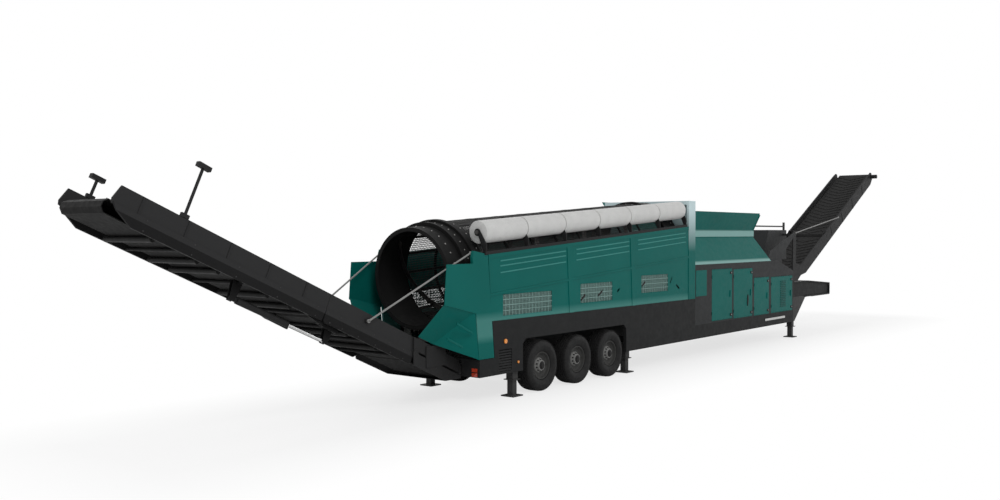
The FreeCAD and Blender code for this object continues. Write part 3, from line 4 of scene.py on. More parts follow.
import bpy
import numpy as np
from bpy.props import BoolProperty, FloatProperty, FloatVectorProperty, IntProperty, PointerProperty
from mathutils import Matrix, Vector


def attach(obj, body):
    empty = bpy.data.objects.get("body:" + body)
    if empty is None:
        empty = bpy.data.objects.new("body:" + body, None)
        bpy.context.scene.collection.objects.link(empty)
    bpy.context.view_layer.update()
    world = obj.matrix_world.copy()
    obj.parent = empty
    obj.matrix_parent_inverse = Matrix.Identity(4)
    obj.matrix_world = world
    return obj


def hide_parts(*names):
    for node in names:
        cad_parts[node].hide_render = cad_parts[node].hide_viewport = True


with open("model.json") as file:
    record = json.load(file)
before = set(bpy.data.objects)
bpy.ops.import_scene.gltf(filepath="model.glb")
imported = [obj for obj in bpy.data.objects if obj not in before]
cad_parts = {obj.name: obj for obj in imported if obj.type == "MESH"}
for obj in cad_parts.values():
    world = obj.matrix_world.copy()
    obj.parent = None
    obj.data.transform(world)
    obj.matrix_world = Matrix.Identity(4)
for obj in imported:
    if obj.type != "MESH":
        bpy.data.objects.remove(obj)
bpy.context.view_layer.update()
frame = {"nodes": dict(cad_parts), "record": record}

bl_info = {
    "name": "Trommel screen looks",
    "version": (1, 0, 0),
    "blender": (4, 5, 0),
    "location": "View3D > Sidebar > Trommel",
    "description": "Dresses the trommel screen's frame with tread, mesh, belts, fittings and finishes",
    "category": "Object",
}

# The machine's main places, in metres: X forward from the coupling pin, Z up from it.
GROUND = -1.095
HALF_WIDTH = 1.275
PIN_STATION = 17.6
TILT = math.radians(4.1)
TAIL_SLOPE = math.radians(24.0)
FINES_SLOPE = math.radians(26.0)
AXLES = (-17.6, -16.29, -14.98)
TYRE_RADIUS = 0.536
TYRE_HALF = 0.1925
SIDES = (("near", -1), ("far", 1))


def at(station, side, height):
    """A place given from the rearmost axle and the ground, in the part's frame."""
    return np.array((station - PIN_STATION, side, height + GROUND))


class Slope:
    """A sloping frame: a runs along it, y across the machine and n up from it."""

    def __init__(self, origin, along, up):
        self.origin = np.asarray(origin, float)
        self.along = np.asarray(along, float)
        self.up = np.asarray(up, float)

    def place(self, points):
        p = np.asarray(points, float)
        level = p[..., 1:2] * np.array((0, 1, 0))
        return self.origin + p[..., :1] * self.along + level + p[..., 2:3] * self.up

    def turned(self, vectors):
        return self.place(vectors) - self.origin


def slope(station, height, angle, forward):
    """Origin on the centre plane; positive angles rise along the run."""
    run = 1 if forward else -1
    return Slope(at(station, 0, height), (run * math.cos(angle), 0, math.sin(angle)),
                 (-run * math.sin(angle), 0, math.cos(angle)))


WORLD = Slope((0, 0, 0), (1, 0, 0), (0, 0, 1))
LEVEL = Slope(at(0, 0, 0), (1, 0, 0), (0, 0, 1))
DRUM = slope(-2.600, 2.390, TILT, True)
TAIL_MID = slope(-3.200, 0.824 + 1.100 * math.tan(TAIL_SLOPE), TAIL_SLOPE, False)
TAIL_HEAD = slope(-5.300, 0.824 + 3.200 * math.tan(TAIL_SLOPE), TAIL_SLOPE, False)
FINES = slope(15.300, 2.140, FINES_SLOPE, True)


# Surfaces

def lattice(rows, columns, close_rows=False, close_columns=False):
    """Quads over a rows-by-columns grid of points; a closed way joins its last points to its first."""
    r = np.arange(rows if close_rows else rows - 1)
    c = np.arange(columns if close_columns else columns - 1)
    r, c = (way.ravel() for way in np.meshgrid(r, c, indexing="ij"))
    r1, c1 = (r + 1) % rows, (c + 1) % columns
    return np.stack((r * columns + c, r1 * columns + c, r1 * columns + c1, r * columns + c1), axis=1)


class Shell:
    """Gathers the points and faces of one piece before its mesh is made."""

    def __init__(self):
        self.points = []
        self.faces = []
        self.count = 0

    def add(self, points, *faces):
        points = np.asarray(points, float).reshape(-1, 3)
        for group in faces:
            self.faces.append(np.asarray(group) + self.count)
        self.points.append(points)
        self.count += len(points)
        return self

    def repeat(self, points, faces):
        """The same faces over copies of a shape; points has one row of places per copy."""
        copies, each = points.shape[:2]
        step = (np.arange(copies) * each)[:, None, None]
        self.add(points, *[(group[None] + step).reshape(-1, group.shape[1]) for group in faces])
        return self

    def mesh(self, name, smooth_angle):
        mesh = bpy.data.meshes.new(name)
        points = np.concatenate(self.points).astype(np.float32)
        loops = np.concatenate([group.ravel() for group in self.faces]).astype(np.int32)
        totals = [np.full(len(group), group.shape[1]) for group in self.faces]
        totals = np.concatenate(totals).astype(np.int32)
        starts = np.concatenate(([0], np.cumsum(totals)[:-1])).astype(np.int32)
        mesh.vertices.add(len(points))
        mesh.vertices.foreach_set("co", points.ravel())
        mesh.loops.add(len(loops))
        mesh.loops.foreach_set("vertex_index", loops)
        mesh.polygons.add(len(totals))
        mesh.polygons.foreach_set("loop_start", starts)
        mesh.polygons.foreach_set("loop_total", totals)
        mesh.update(calc_edges=True)
        if smooth_angle:
            mesh.polygons.foreach_set("use_smooth", np.ones(len(totals), bool))
            mesh.set_sharp_from_angle(angle=math.radians(smooth_angle))
        mesh.validate()
        return mesh


def build(name, shell, body, finish, smooth=35, bevel=0.0):
    """Makes the object, gives it its finish and lets it ride on its body."""
    obj = bpy.data.objects.new(name, shell.mesh(name, smooth))
    bpy.context.scene.collection.objects.link(obj)
    obj.data.materials.append(finish)
    if bevel:
        edge = obj.modifiers.new("Edges", "BEVEL")
        edge.width = bevel
        edge.segments = 1
        edge.limit_method = "ANGLE"
        edge.angle_limit = math.radians(40)
    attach(obj, body)
    return obj


def rows(*values):
    return np.array(np.meshgrid(*values, indexing="ij")).reshape(len(values), -1).T


BOX_CORNERS = rows((-1, 1), (-1, 1), (-1, 1)).astype(float)
BOX_FACES = np.array(((0, 1, 3, 2), (4, 6, 7, 5), (0, 4, 5, 1), (2, 3, 7, 6), (0, 2, 6, 4), (1, 5, 7, 3)))


def boxes(shell, where, centres, halves):
    """Square-edged bars: each corner is the centre plus or minus the half sizes, in the slope's frame."""
    centres = np.atleast_2d(np.asarray(centres, float))
    halves = np.broadcast_to(np.asarray(halves, float), centres.shape)
    corners = centres[:, None, :] + BOX_CORNERS[None] * halves[:, None, :]
    return shell.repeat(where.place(corners), [BOX_FACES])


def across(direction):
    """Two unit vectors square to a direction and to each other."""
    d = np.asarray(direction, float) / np.linalg.norm(direction)
    side = np.cross(d, (0, 0, 1) if abs(d[2]) < 0.9 else (1, 0, 0))
    side /= np.linalg.norm(side)
    return d, side, np.cross(d, side)


def spun(shell, centres, axis, outline, sides, phase=0.0):
    """Turned pieces: a point at angle t is centre + axis * height + radius * (cos t * side + sin t * other).

    The outline lists a radius and a height at each step.
    """
    centres = np.atleast_2d(np.asarray(centres, float))
    d, side, other = across(axis)
    outline = np.asarray(outline, float)
    t = phase + np.arange(sides) * 2 * math.pi / sides
    ring = np.cos(t)[:, None] * side + np.sin(t)[:, None] * other
    shape = outline[:, None, 1:2] * d + outline[:, None, 0:1] * ring[None]
    count = len(outline)
    faces = [lattice(count, sides, False, True)[:, ::-1], np.arange(sides)[None, :],
             (count - 1) * sides + np.arange(sides)[None, ::-1]]
    points = centres[:, None, :] + shape.reshape(-1, 3)[None]
    return shell.repeat(points, faces)


HEX = 6
BOLT = ((0.0165, 0.0), (0.0165, 0.002), (0.012, 0.0025), (0.012, 0.009), (0.0105, 0.0105))


def bolts(shell, places, axis, scale=1.0):
    """A washer and a six-sided head on each place, the head pointing along the axis."""
    return spun(shell, places, axis, np.array(BOLT) * scale, HEX)


# Finishes

class Finish:
    """A node tree under construction, with the object's own coordinates at hand."""

    def __init__(self, name, material=None):
        self.material = material or bpy.data.materials.new(name)
        self.material.use_nodes = True
        self.tree = self.material.node_tree
        self.shader = self.tree.nodes["Principled BSDF"]
        self.coordinates = self.tree.nodes.new("ShaderNodeTexCoord").outputs["Object"]

    def node(self, kind, **inputs):
        node = self.tree.nodes.new(kind)
        for key, value in inputs.items():
            if key in node.inputs:
                socket = node.inputs[key]
                if isinstance(value, bpy.types.NodeSocket):
                    self.tree.links.new(value, socket)
                else:
                    socket.default_value = value
            else:
                setattr(node, key, value)
        return node

    def link(self, output, target):
        self.tree.links.new(output, target)

    def noise(self, scale, detail=4.0, rough=0.55, stretch=(1, 1, 1)):
        place = self.node("ShaderNodeMapping", Vector=self.coordinates, Scale=stretch)
        return self.node("ShaderNodeTexNoise", Vector=place.outputs["Vector"], Scale=scale, Detail=detail,
                         Roughness=rough).outputs["Fac"]

    def ramp(self, value, low, high, start, end):
        ramp = self.node("ShaderNodeMapRange", Value=value)
        ramp.inputs["From Min"].default_value = low
        ramp.inputs["From Max"].default_value = high
        ramp.inputs["To Min"].default_value = start
        ramp.inputs["To Max"].default_value = end
        return ramp.outputs["Result"]

    def blend(self, factor, one, other):
        mix = self.node("ShaderNodeMix", data_type="RGBA")
        mix.inputs["Factor"].default_value = 0
        self.link(factor, mix.inputs["Factor"])
        for socket, value in ((mix.inputs["A"], one), (mix.inputs["B"], other)):
            colour = [i for i in mix.inputs if i.name == socket.name and i.type == "RGBA"][0]
            if isinstance(value, bpy.types.NodeSocket):
                self.link(value, colour)
            else:
                colour.default_value = (*value[:3], 1)
        return [o for o in mix.outputs if o.type == "RGBA"][0]

    def maths(self, operation, one, other):
        """One sum on two values, each a socket or a number."""
        node = self.node("ShaderNodeMath", operation=operation)
        for socket, value in zip(node.inputs, (one, other)):
            if isinstance(value, bpy.types.NodeSocket):
                self.link(value, socket)
            else:
                socket.default_value = value
        return node.outputs[0]

    def bump(self, height, strength, distance):
        bump = self.node("ShaderNodeBump", Height=height, Strength=strength, Distance=distance)
        self.link(bump.outputs["Normal"], self.shader.inputs["Normal"])


def shade(colour, factor):
    return tuple(min(1.0, c * factor) for c in colour[:3])


def paint(name, colour, rough=0.38, dust=0.25, grain=60.0, shine=0.06, bands=(), lean=0.0):
    """Sprayed paint: cloudy tone, a fine orange peel, some dust low down, and bands of other tones, which in
    several finishes are painted highlights.

    A band is (low, high, softness, colour), in height plus lean times station.
    Its share is a ramp up to its low edge times a ramp down from its high one.
    """
    f = Finish(name)
    cloud = f.ramp(f.noise(0.7, 3.0), 0.3, 0.7, 0.0, 1.0)
    tone = f.blend(cloud, shade(colour, 0.92), shade(colour, 1.06))
    place = f.node("ShaderNodeSeparateXYZ", Vector=f.coordinates)
    station = f.maths("ADD", place.outputs["X"], PIN_STATION)
    height = f.maths("ADD", place.outputs["Z"], f.maths("MULTIPLY", station, lean))
    for low, high, soft, other in bands:
        rise = f.ramp(height, low + GROUND - soft, low + GROUND, 0.0, 1.0)
        fall = f.ramp(height, high + GROUND, high + GROUND + soft, 1.0, 0.0)
        tone = f.blend(f.maths("MULTIPLY", rise, fall), tone, other)
    low = f.ramp(place.outputs["Z"], GROUND, GROUND + 2.2, 1.0, 0.0)
    film = f.maths("MULTIPLY", low, f.ramp(f.noise(5.0, 8.0, 0.7), 0.45, 0.75, 0.0, dust))
    f.link(f.blend(film, tone, (0.075, 0.07, 0.064)), f.shader.inputs["Base Color"])
    f.link(f.ramp(f.noise(9.0, 6.0, 0.6), 0.3, 0.7, rough - 0.06, rough + 0.10), f.shader.inputs["Roughness"])
    f.bump(f.noise(grain, 2.0), 0.05, 0.002)
    f.shader.inputs["Specular IOR Level"].default_value = shine
    return f.material


def rim_paint(name, colour, nave):
    """Dark rim with a paler nave: a radius from the nearest axle, found by folding the run."""
    f = Finish(name, paint(name, colour, rough=0.4, dust=0.1))
    place = f.node("ShaderNodeSeparateXYZ", Vector=f.coordinates)
    run = f.maths("PINGPONG", f.maths("SUBTRACT", place.outputs["X"], AXLES[0]), 0.5 * (AXLES[1] - AXLES[0]))
    rise = f.maths("SUBTRACT", place.outputs["Z"], GROUND + TYRE_RADIUS)
    squares = f.maths("ADD", f.maths("POWER", run, 2.0), f.maths("MULTIPLY", rise, rise))
    radius = f.maths("SQRT", squares, 0.0)
    tone = f.shader.inputs["Base Color"].links[0].from_socket
    f.link(f.blend(f.ramp(radius, 0.150, 0.165, 1.0, 0.0), tone, nave), f.shader.inputs["Base Color"])
    return f.material


def steel(name, colour, rough=0.35, streak=(1, 1, 12), metallic=1.0):
    """Bare steel: drawn streaks in the roughness and a darker film in patches."""
    f = Finish(name)
    patch = f.ramp(f.noise(3.0, 5.0), 0.35, 0.7, 0.0, 1.0)
    f.link(f.blend(patch, shade(colour, 0.75), colour), f.shader.inputs["Base Color"])
    drawn = f.ramp(f.noise(30.0, 6.0, 0.7, streak), 0.3, 0.7, rough - 0.1, rough + 0.15)
    f.link(drawn, f.shader.inputs["Roughness"])
    f.shader.inputs["Metallic"].default_value = metallic
    f.bump(f.noise(80.0, 3.0, 0.5, streak), 0.08, 0.001)
    return f.material


def rubber(name, colour, rough=0.7, dust=0.5):
    """Rubber: a matt surface with a faint bloom and fine pores."""
    f = Finish(name)
    bloom = f.ramp(f.noise(6.0, 8.0, 0.65), 0.4, 0.75, 0.0, dust)
    f.link(f.blend(bloom, colour, (0.045, 0.043, 0.040)), f.shader.inputs["Base Color"])
    f.link(f.ramp(f.noise(14.0, 5.0), 0.3, 0.7, rough - 0.1, rough + 0.1), f.shader.inputs["Roughness"])
    f.bump(f.noise(240.0, 3.0), 0.15, 0.0008)
    f.shader.inputs["Specular IOR Level"].default_value = 0.2
    return f.material


def bristle(name, colour):
    """Packed bristles: fine pale strands with a slight sheen and thin shadows between them."""
    f = Finish(name)
    strand = f.noise(160.0, 4.0, 0.7)
    cloud = f.ramp(f.noise(4.0, 4.0), 0.35, 0.7, 0.0, 1.0)
    tone = f.blend(cloud, shade(colour, 0.90), colour)
    gap = f.ramp(strand, 0.35, 0.5, 1.0, 0.0)
    f.link(f.blend(gap, tone, shade(colour, 0.62)), f.shader.inputs["Base Color"])
    f.shader.inputs["Roughness"].default_value = 0.75
    f.shader.inputs["Sheen Weight"].default_value = 0.2
    f.bump(strand, 0.5, 0.004)
    return f.material


def lens(name, colour, rear, glow=0.0):
    """A moulded lamp lens with ribs under a glossy face, in another tone at the machine's rear end."""
    f = Finish(name)
    rib = f.node("ShaderNodeTexWave", Vector=f.coordinates, Scale=60.0, Distortion=0.0, bands_direction="X")
    run = f.node("ShaderNodeSeparateXYZ", Vector=f.coordinates).outputs["X"]
    tone = f.blend(f.ramp(run, -19.5, -19.0, 0.0, 1.0), rear, colour)
    dark = f.ramp(rib.outputs["Fac"], 0.0, 1.0, 0.0, 0.3)
    f.link(f.blend(dark, tone, (0.02, 0.015, 0.01)), f.shader.inputs["Base Color"])
    f.shader.inputs["Roughness"].default_value = 0.12
    f.shader.inputs["Coat Weight"].default_value = 0.6
    f.shader.inputs["Emission Color"].default_value = (*colour[:3], 1)
    f.shader.inputs["Emission Strength"].default_value = glow
    f.bump(rib.outputs["Fac"], 0.3, 0.001)
    return f.material


FINISHES = {}


def finish(name):
    return FINISHES[name]


# Sizes and colours that a user may change

class TrommelColours(bpy.types.PropertyGroup):
    body: FloatVectorProperty(name="Body", description="Paint of walls, doors and hopper", subtype="COLOR",
                              size=3, min=0, max=1, default=(0.0022, 0.104, 0.090))
    skirt: FloatVectorProperty(name="Skirts", description="Paint of skirts and chassis", subtype="COLOR",
                               size=3, min=0, max=1, default=(0.0135, 0.0140, 0.0145))
    conveyor: FloatVectorProperty(name="Conveyors", description="Paint of both conveyors", subtype="COLOR",
                                  size=3, min=0, max=1, default=(0.022, 0.022, 0.0225))
    fittings: FloatVectorProperty(name="Fittings", description="Paint of stays and grilles", subtype="COLOR",
                                  size=3, min=0, max=1, default=(0.24, 0.24, 0.235))
    wheel: FloatVectorProperty(name="Wheels", description="Paint of the rims", subtype="COLOR",
                               size=3, min=0, max=1, default=(0.20, 0.20, 0.195))
    bristles: FloatVectorProperty(name="Bristles", description="Colour of the brush", subtype="COLOR",
                                  size=3, min=0, max=1, default=(0.60, 0.60, 0.59))


class TrommelSizes(bpy.types.PropertyGroup):
    groove: FloatProperty(name="Tread groove", description="Depth of the tread's grooves", unit="LENGTH",
                          default=0.013, min=0.0, max=0.03)
    tread_pitch: IntProperty(name="Tread blocks", description="Blocks round a tyre's shoulder",
                             default=54, min=8, max=120)
    wire: FloatProperty(name="Screen wire", description="Thickness of the drum's screen bars", unit="LENGTH",
                        default=0.010, min=0.002, max=0.03)
    bolt_scale: FloatProperty(name="Bolt size", description="Size of bolt heads against a 16 mm bolt",
                              default=1.0, min=0.4, max=2.0)
    floor_shade: FloatProperty(name="Floor", description="Paleness of the floor",
                               default=0.84, min=0.0, max=1.0)


# Wheels

def tyre_section(groove):
    """Half widths and radii round a tyre's section, bead to bead over the crown and back under the bore."""
    wall = np.linspace(0.0, 1.0, 15)
    radius = 0.300 + 0.205 * wall
    width = 0.146 + 0.0465 * np.sin(np.pi * np.clip((radius - 0.290) / 0.245, 0, 1)) ** 0.75
    width = width + 0.0018 * (np.abs(wall - 0.55) < 0.08)
    crown = np.array((0.176, 0.168, 0.158, 0.1525, 0.122, 0.120, 0.110,
                      0.108, 0.068, 0.066, 0.056, 0.054, 0.007, 0.005))
    cut = np.array((0, 0, 0, 0, 0, 1, 1, 0, 0, 1, 1, 0, 0, 1.0))
    top = np.where(crown > 0.165, 0.512 + (0.176 - crown) * 1.2, 0.536 - 0.012 * (crown / 0.16) ** 4)
    top = top - cut * groove
    side = np.concatenate((width, crown))
    rise = np.concatenate((radius, top))
    side = np.concatenate((side, -side[::-1], (-0.120, 0.120)))
    rise = np.concatenate((rise, rise[::-1], (0.2925, 0.2925)))
    return side, rise


def tyres(sizes):
    """Each tyre: radius over (angle, section) is the section's radius less a notch at each block's edge."""
    side, rise = tyre_section(sizes.groove)
    blocks = sizes.tread_pitch
    part = np.array((0.0, 0.07, 0.17, 0.55))
    turn = ((np.arange(blocks)[:, None] + part[None]) / blocks * 2 * np.pi).ravel()
    notch = np.tile((1.0, 1.0, 0.0, 0.0), blocks)
    shoulder = ((np.abs(side) > 0.109) & (rise > 0.50)).astype(float)
    inner = ((np.abs(side) < 0.109) & (rise > 0.50)).astype(float)
    lag = np.roll(notch, 2)
    deep = 0.55 * notch[:, None] * shoulder[None]
    shallow = 0.2 * lag[:, None] * inner[None]
    radius = rise[None] - sizes.groove * deep - sizes.groove * shallow
    for where, sign in SIDES:
        for number, station in enumerate(AXLES, start=1):
            x = station + radius * np.sin(turn)[:, None]
            z = GROUND + TYRE_RADIUS + radius * np.cos(turn)[:, None]
            y = sign * (HALF_WIDTH - TYRE_HALF) + np.broadcast_to(side[None], radius.shape)
            faces = lattice(len(turn), len(side), True, True)[:, ::-1]
            shell = Shell().add(np.stack((x, y, z), axis=-1), faces)
            tag = "%s_%d" % (where, number)
            obj = build("tyre_tread_" + tag, shell, "wheel_" + tag, finish("tyre"), smooth=28)
            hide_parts("tyre_" + tag)


NUT = ((0.019, -0.004), (0.019, 0.004), (0.015, 0.006), (0.015, 0.024), (0.011, 0.028), (0.006, 0.036))
HUB_CAP = ((0.088, -0.01), (0.088, 0.006), (0.078, 0.012), (0.060, 0.014), (0.056, 0.030), (0.030, 0.034))
VALVE = ((0.006, 0), (0.006, 0.04), (0.004, 0.045))


def wheel_fittings(sizes):
    """Ten nuts on a ring of radius 0.118, a hub cap of three steps and a valve on each rim."""
    t = np.arange(10) * 2 * np.pi / 10
    ring = np.stack((np.sin(t) * 0.118, np.zeros(10), np.cos(t) * 0.118), axis=1)
    for where, sign in SIDES:
        out = (0, sign, 0)
        for number, station in enumerate(AXLES, start=1):
            shell = Shell()
            centre = np.array((station, sign * (HALF_WIDTH - TYRE_HALF), GROUND + TYRE_RADIUS))
            spun(shell, centre + (0, sign * 0.093, 0) + ring, out, NUT, HEX)
            spun(shell, centre + (0, sign * 0.150, 0), out, HUB_CAP, 32)
            spun(shell, centre + (0.212, sign * 0.085, 0), out, VALVE, 10)
            tag = "%s_%d" % (where, number)
            build("wheel_nuts_" + tag, shell, "wheel_" + tag, finish("hub"))


# Drum and brush

def drum_screen(sizes):
    """Screen bars between the cage's bars: square rings at each row, straight bars on each column."""
    shell = Shell()
    half = sizes.wire / 2
    stations = np.arange(1.010, 7.93, 0.0455)
    turn = np.arange(72) * 2 * np.pi / 72
    corner = np.array(((-half, -half), (half, -half), (half, half), (-half, half)))
    a = stations[:, None, None] + corner[None, None, :, 0]
    r = 1.046 + corner[None, None, :, 1] + 0 * a
    t = turn[None, :, None]
    points = np.stack((a + 0 * t, r * np.sin(t), r * np.cos(t)), axis=-1)
    shell.repeat(DRUM.place(points.reshape(len(stations), -1, 3)), [lattice(72, 4, True, True)])
    turn = (np.arange(128) + 0.5) * 2 * np.pi / 128
    ends = np.array((0.965, 7.955))
    section = corner[None, None] + np.array((0, 1.038))
    spin = turn[:, None, None]
    y = section[..., 0] * np.cos(spin) + section[..., 1] * np.sin(spin)
    n = -section[..., 0] * np.sin(spin) + section[..., 1] * np.cos(spin)
    a = np.broadcast_to(ends[None, :, None], (len(turn), 2, 4))
    y, n = (np.broadcast_to(v, (len(turn), 2, 4)) for v in (y, n))
    points = np.stack((a, y, n), axis=-1).reshape(len(turn), -1, 3)
    caps = np.array(((3, 2, 1, 0), (4, 5, 6, 7)))
    shell.repeat(DRUM.place(points), [lattice(2, 4, False, True), caps])
    build("drum_screen", shell, "drum", finish("screen"), smooth=0)


def drum_flights(sizes):
    """Two lifting flights in the drum: at turn t the flight stands inward and climbs along the wall."""
    shell = Shell()
    run = np.linspace(0.44, 8.80, 240)
    for start in (0.0, np.pi):
        turn = start + run * 2 * np.pi / 3.6
        shift, radius = np.array(((-0.005, 1.040), (-0.005, 0.930), (0.005, 0.930), (0.005, 1.040))).T
        t = turn[:, None]
        points = np.stack((run[:, None] + shift + 0 * t, radius * np.sin(t), radius * np.cos(t)), axis=-1)
        shell.add(DRUM.place(points), lattice(240, 4, False, True)[:, ::-1], ((0, 1, 2, 3),),
                  (tuple(239 * 4 + k for k in (3, 2, 1, 0)),))
    build("drum_flights", shell, "drum", finish("worn"), smooth=40)


def drum_bolts(sizes):
    """Bolt rings on the neck and both bands: bolts at equal turns that point away from the axis."""
    shell = Shell()
    for station, radius, count in ((0.20, 1.000, 30), (0.55, 1.060, 36), (0.90, 1.060, 36), (8.05, 1.060, 36),
                                   (8.70, 1.060, 36)):
        for t in np.arange(count) * 2 * np.pi / count:
            away = DRUM.turned((0, math.sin(t), math.cos(t)))
            place = DRUM.place((station, radius * math.sin(t), radius * math.cos(t)))
            bolts(shell, place, away, sizes.bolt_scale)
    build("drum_bolts", shell, "drum", finish("bare"))


def brush_rolls(sizes):
    """Six bristle lengths: radius over (turn, run) is 0.2245 plus small waves that make tufts."""
    shell = Shell()
    for index in range(6):
        start = 0.805 + index * 1.348 + 0.018
        length = 1.348 - 0.036
        ease = np.array((0, 0, 0.003, 0.010, 0.03))
        run = np.concatenate((ease, np.linspace(0.06, length - 0.06, 40), length - ease[::-1]))
        turn = np.arange(120) * 2 * np.pi / 120
        u, t = np.meshgrid(run, turn, indexing="ij")
        wave = 0.0022 * np.sin(37 * t + 23 * u) * np.sin(61 * u + 11 * t) + 0.0015 * np.sin(83 * t - 71 * u)
        droop = np.interp(run, (0, 0.003, 0.010, 0.03), (0.008, 0.003, 0.001, 0))
        droop = np.maximum(droop, droop[::-1])
        radius = 0.2245 - droop[:, None] + wave
        radius[0] = radius[-1] = 0.05
        points = np.stack((start + u, -1.050 + radius * np.sin(t), 0.845 + radius * np.cos(t)), axis=-1)
        count = len(run)
        shell.add(DRUM.place(points), lattice(count, 120, False, True), np.arange(120)[None, ::-1],
                  (count - 1) * 120 + np.arange(120)[None, :])
    obj = build("brush_bristles", shell, "brush", finish("bristle"), smooth=50)
    core = Shell()
    axis = DRUM.turned((1, 0, 0))
    spun(core, DRUM.place((0.769, -1.050, 0.845)), axis, ((0.04, 0), (0.04, 8.160)), 24)
    shaft = build("brush_shaft", core, "brush", finish("worn"))
    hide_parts("brush_roll")
    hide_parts("brush_roll")


# Conveyors

def chevrons(shell, where, starts, half, height, rise=0.014, sweep=0.55):
    """Raised V bars on a belt: a bar's place is its start plus the sweep times the distance off centre."""
    starts = np.asarray(starts, float)
    y = np.array((-half, -half * 0.5, -0.0, half * 0.5, half))
    foot = np.array((0, 0.026, 0.019, 0.007))
    a = starts[:, None, None] + sweep * np.abs(y)[None, :, None] + foot[None, None]
    n = height + np.array((-0.002, -0.002, rise, rise))[None, None] + 0 * a
    points = np.stack((a, y[None, :, None] + 0 * a, n), axis=-1).reshape(len(starts), -1, 3)
    caps = np.array(((0, 1, 2, 3), (19, 18, 17, 16)))
    return shell.repeat(where.place(points), [lattice(5, 4, False, True)[:, ::-1], caps])


BELTS = (
    # piece, slope, first and last place along the run, height, body
    ("tail_mid", TAIL_MID, 0.10, 1.96, -0.263, "tail_mid"),
    ("tail_head", TAIL_HEAD, 0.10, 3.86, -0.203, "tail_head"),
    ("fines_lower", FINES, 0.15, 2.25, -0.150, "fines_lower"),
    ("fines_upper", FINES, 2.80, 7.70, -0.110, "fines_upper"),
)


def belt_cleats(sizes):
    """V bars along the carrying side of each belt, one every 0.25 m."""
    for name, where, first, last, height, body in BELTS:
        shell = Shell()
        chevrons(shell, where, np.arange(first, last, 0.25), 0.50, height)
        build("cleats_" + name, shell, body, finish("belt"))


def idlers(sizes):
    """Return rollers under each belt with their spindle ends, turned about the machine's cross axis."""
    rows_of = (
        ("tail_mid", TAIL_MID, (0.85, 1.60), -0.470, 0.712, "tail_mid"),
        ("tail_head", TAIL_HEAD, (0.65, 1.15, 2.15, 2.55, 3.35), -0.470, 0.712, "tail_head"),
        ("fines_lower", FINES, (0.95, 1.95), -0.388, 0.656, "fines_lower"),
        ("fines_upper", FINES, (3.5, 4.15, 5.1, 5.6, 6.6, 7.0), -0.368, 0.656, "fines_upper"),
    )
    for name, where, places, height, reach, body in rows_of:
        shell = Shell()
        for a in places:
            spun(shell, where.place((a, -reach, height)), (0, 1, 0),
                 ((0.012, 0), (0.012, 0.08), (0.042, 0.08), (0.045, 0.083), (0.045, 2 * reach - 0.083),
                  (0.042, 2 * reach - 0.08), (0.012, 2 * reach - 0.08), (0.012, 2 * reach)), 20)
        build("idlers_" + name, shell, body, finish("hub"))


# Panels, doors and small fittings

# name, rear edge, front edge, foot, head
DOORS = (
    ("a", 7.680, 8.920, 0.910, 2.300),
    ("b", 9.020, 10.260, 0.890, 2.270),
    ("c", 10.380, 11.430, 0.880, 1.980),
    ("d", 11.600, 13.220, 0.880, 1.960),
)
# rear edge, length
HATCHES = ((-1.330, 1.650), (1.390, 1.300), (3.990, 1.300))
# station, height, run, rise
SLOTS = (
    (1.50, 1.87, 0.17, 0.10), (2.19, 1.93, 0.17, 0.10), (2.95, 1.96, 0.10, 0.06),
    (4.10, 2.06, 0.16, 0.09), (5.45, 2.10, 0.12, 0.16), (5.80, 1.92, 0.16, -0.10),
)
STUD = ((0.014, 0), (0.014, 0.005), (0.010, 0.010), (0.004, 0.012))


def slats(shell, ends, side, depth, tall):
    """Straight strips on a side, each from one place to another: tall in height, deep in the cross axis."""
    for first, last in ends:
        a = np.array((first, last, last, first))
        z = a[:, 1] + np.array((-0.5, -0.5, 0.5, 0.5)) * tall
        x = a[:, 0]
        corners = np.stack((x - PIN_STATION, np.zeros(4), z + GROUND), axis=1)
        low, high = corners + (0, min(depth) * side, 0), corners + (0, max(depth) * side, 0)
        if side < 0:
            low, high = low[::-1], high[::-1]
        around = [(k, k + 4, (k + 1) % 4 + 4, (k + 1) % 4) for k in range(4)]
        shell.add(np.concatenate((low, high)), ((0, 1, 2, 3), (7, 6, 5, 4)), around)
    return shell


def wall_top(station):
    """Height of the drum walls' top edge, which rises with the drum."""
    return 2.870 + (station + 1.660) * math.tan(TILT)


def wall_panels(sizes):
    """Pressed ridges along each bay, painted a lighter teal as a highlight, a fine mesh behind each hatch's
    bars and dark slots beside them, thin plates whose near-black is painted shade.
    """
    for where, side in SIDES:
        ridges = Shell()
        for first, last in ((-1.42, 0.82), (1.22, 3.42), (3.82, 6.20)):
            ends = [((first, wall_top(first) - drop), (last, wall_top(last) - drop))
                    for drop in (0.155, 0.255, 0.385)]
            slats(ridges, ends, side, (1.250, 1.271), 0.026)
        # The ridges' lighter teal finish is a painted highlight.
        build("wall_ridges_" + where, ridges, "chassis", finish("ridge"))
        mesh = Shell()
        wire = 0.0035
        for left, width in HATCHES:
            low = 1.640 + (left + 1.660) * math.tan(TILT) * 0.5
            xs = np.arange(left + 0.02, left + width, 0.026)
            zs = np.arange(low + 0.015, low + 0.42, 0.026)
            boxes(mesh, LEVEL, [(x, 1.247 * side, low + 0.21) for x in xs], (wire, wire, 0.214))
            middle = left + width / 2
            boxes(mesh, LEVEL, [(middle, 1.250 * side, z) for z in zs], (width / 2 + 0.004, wire, wire))
        build("wall_mesh_" + where, mesh, "chassis", finish("mesh"), smooth=0)
        # The slots are thin near-black plates on the wall, painted shade standing in for louvre openings.
        slots = Shell()
        for x, z, run, rise in SLOTS:
            ends = ((x - run / 2, z - rise / 2), (x + run / 2, z + rise / 2))
            slats(slots, (ends,), side, (1.252, 1.262), 0.055)
        build("wall_slot_shade_" + where, slots, "chassis", finish("hub"))


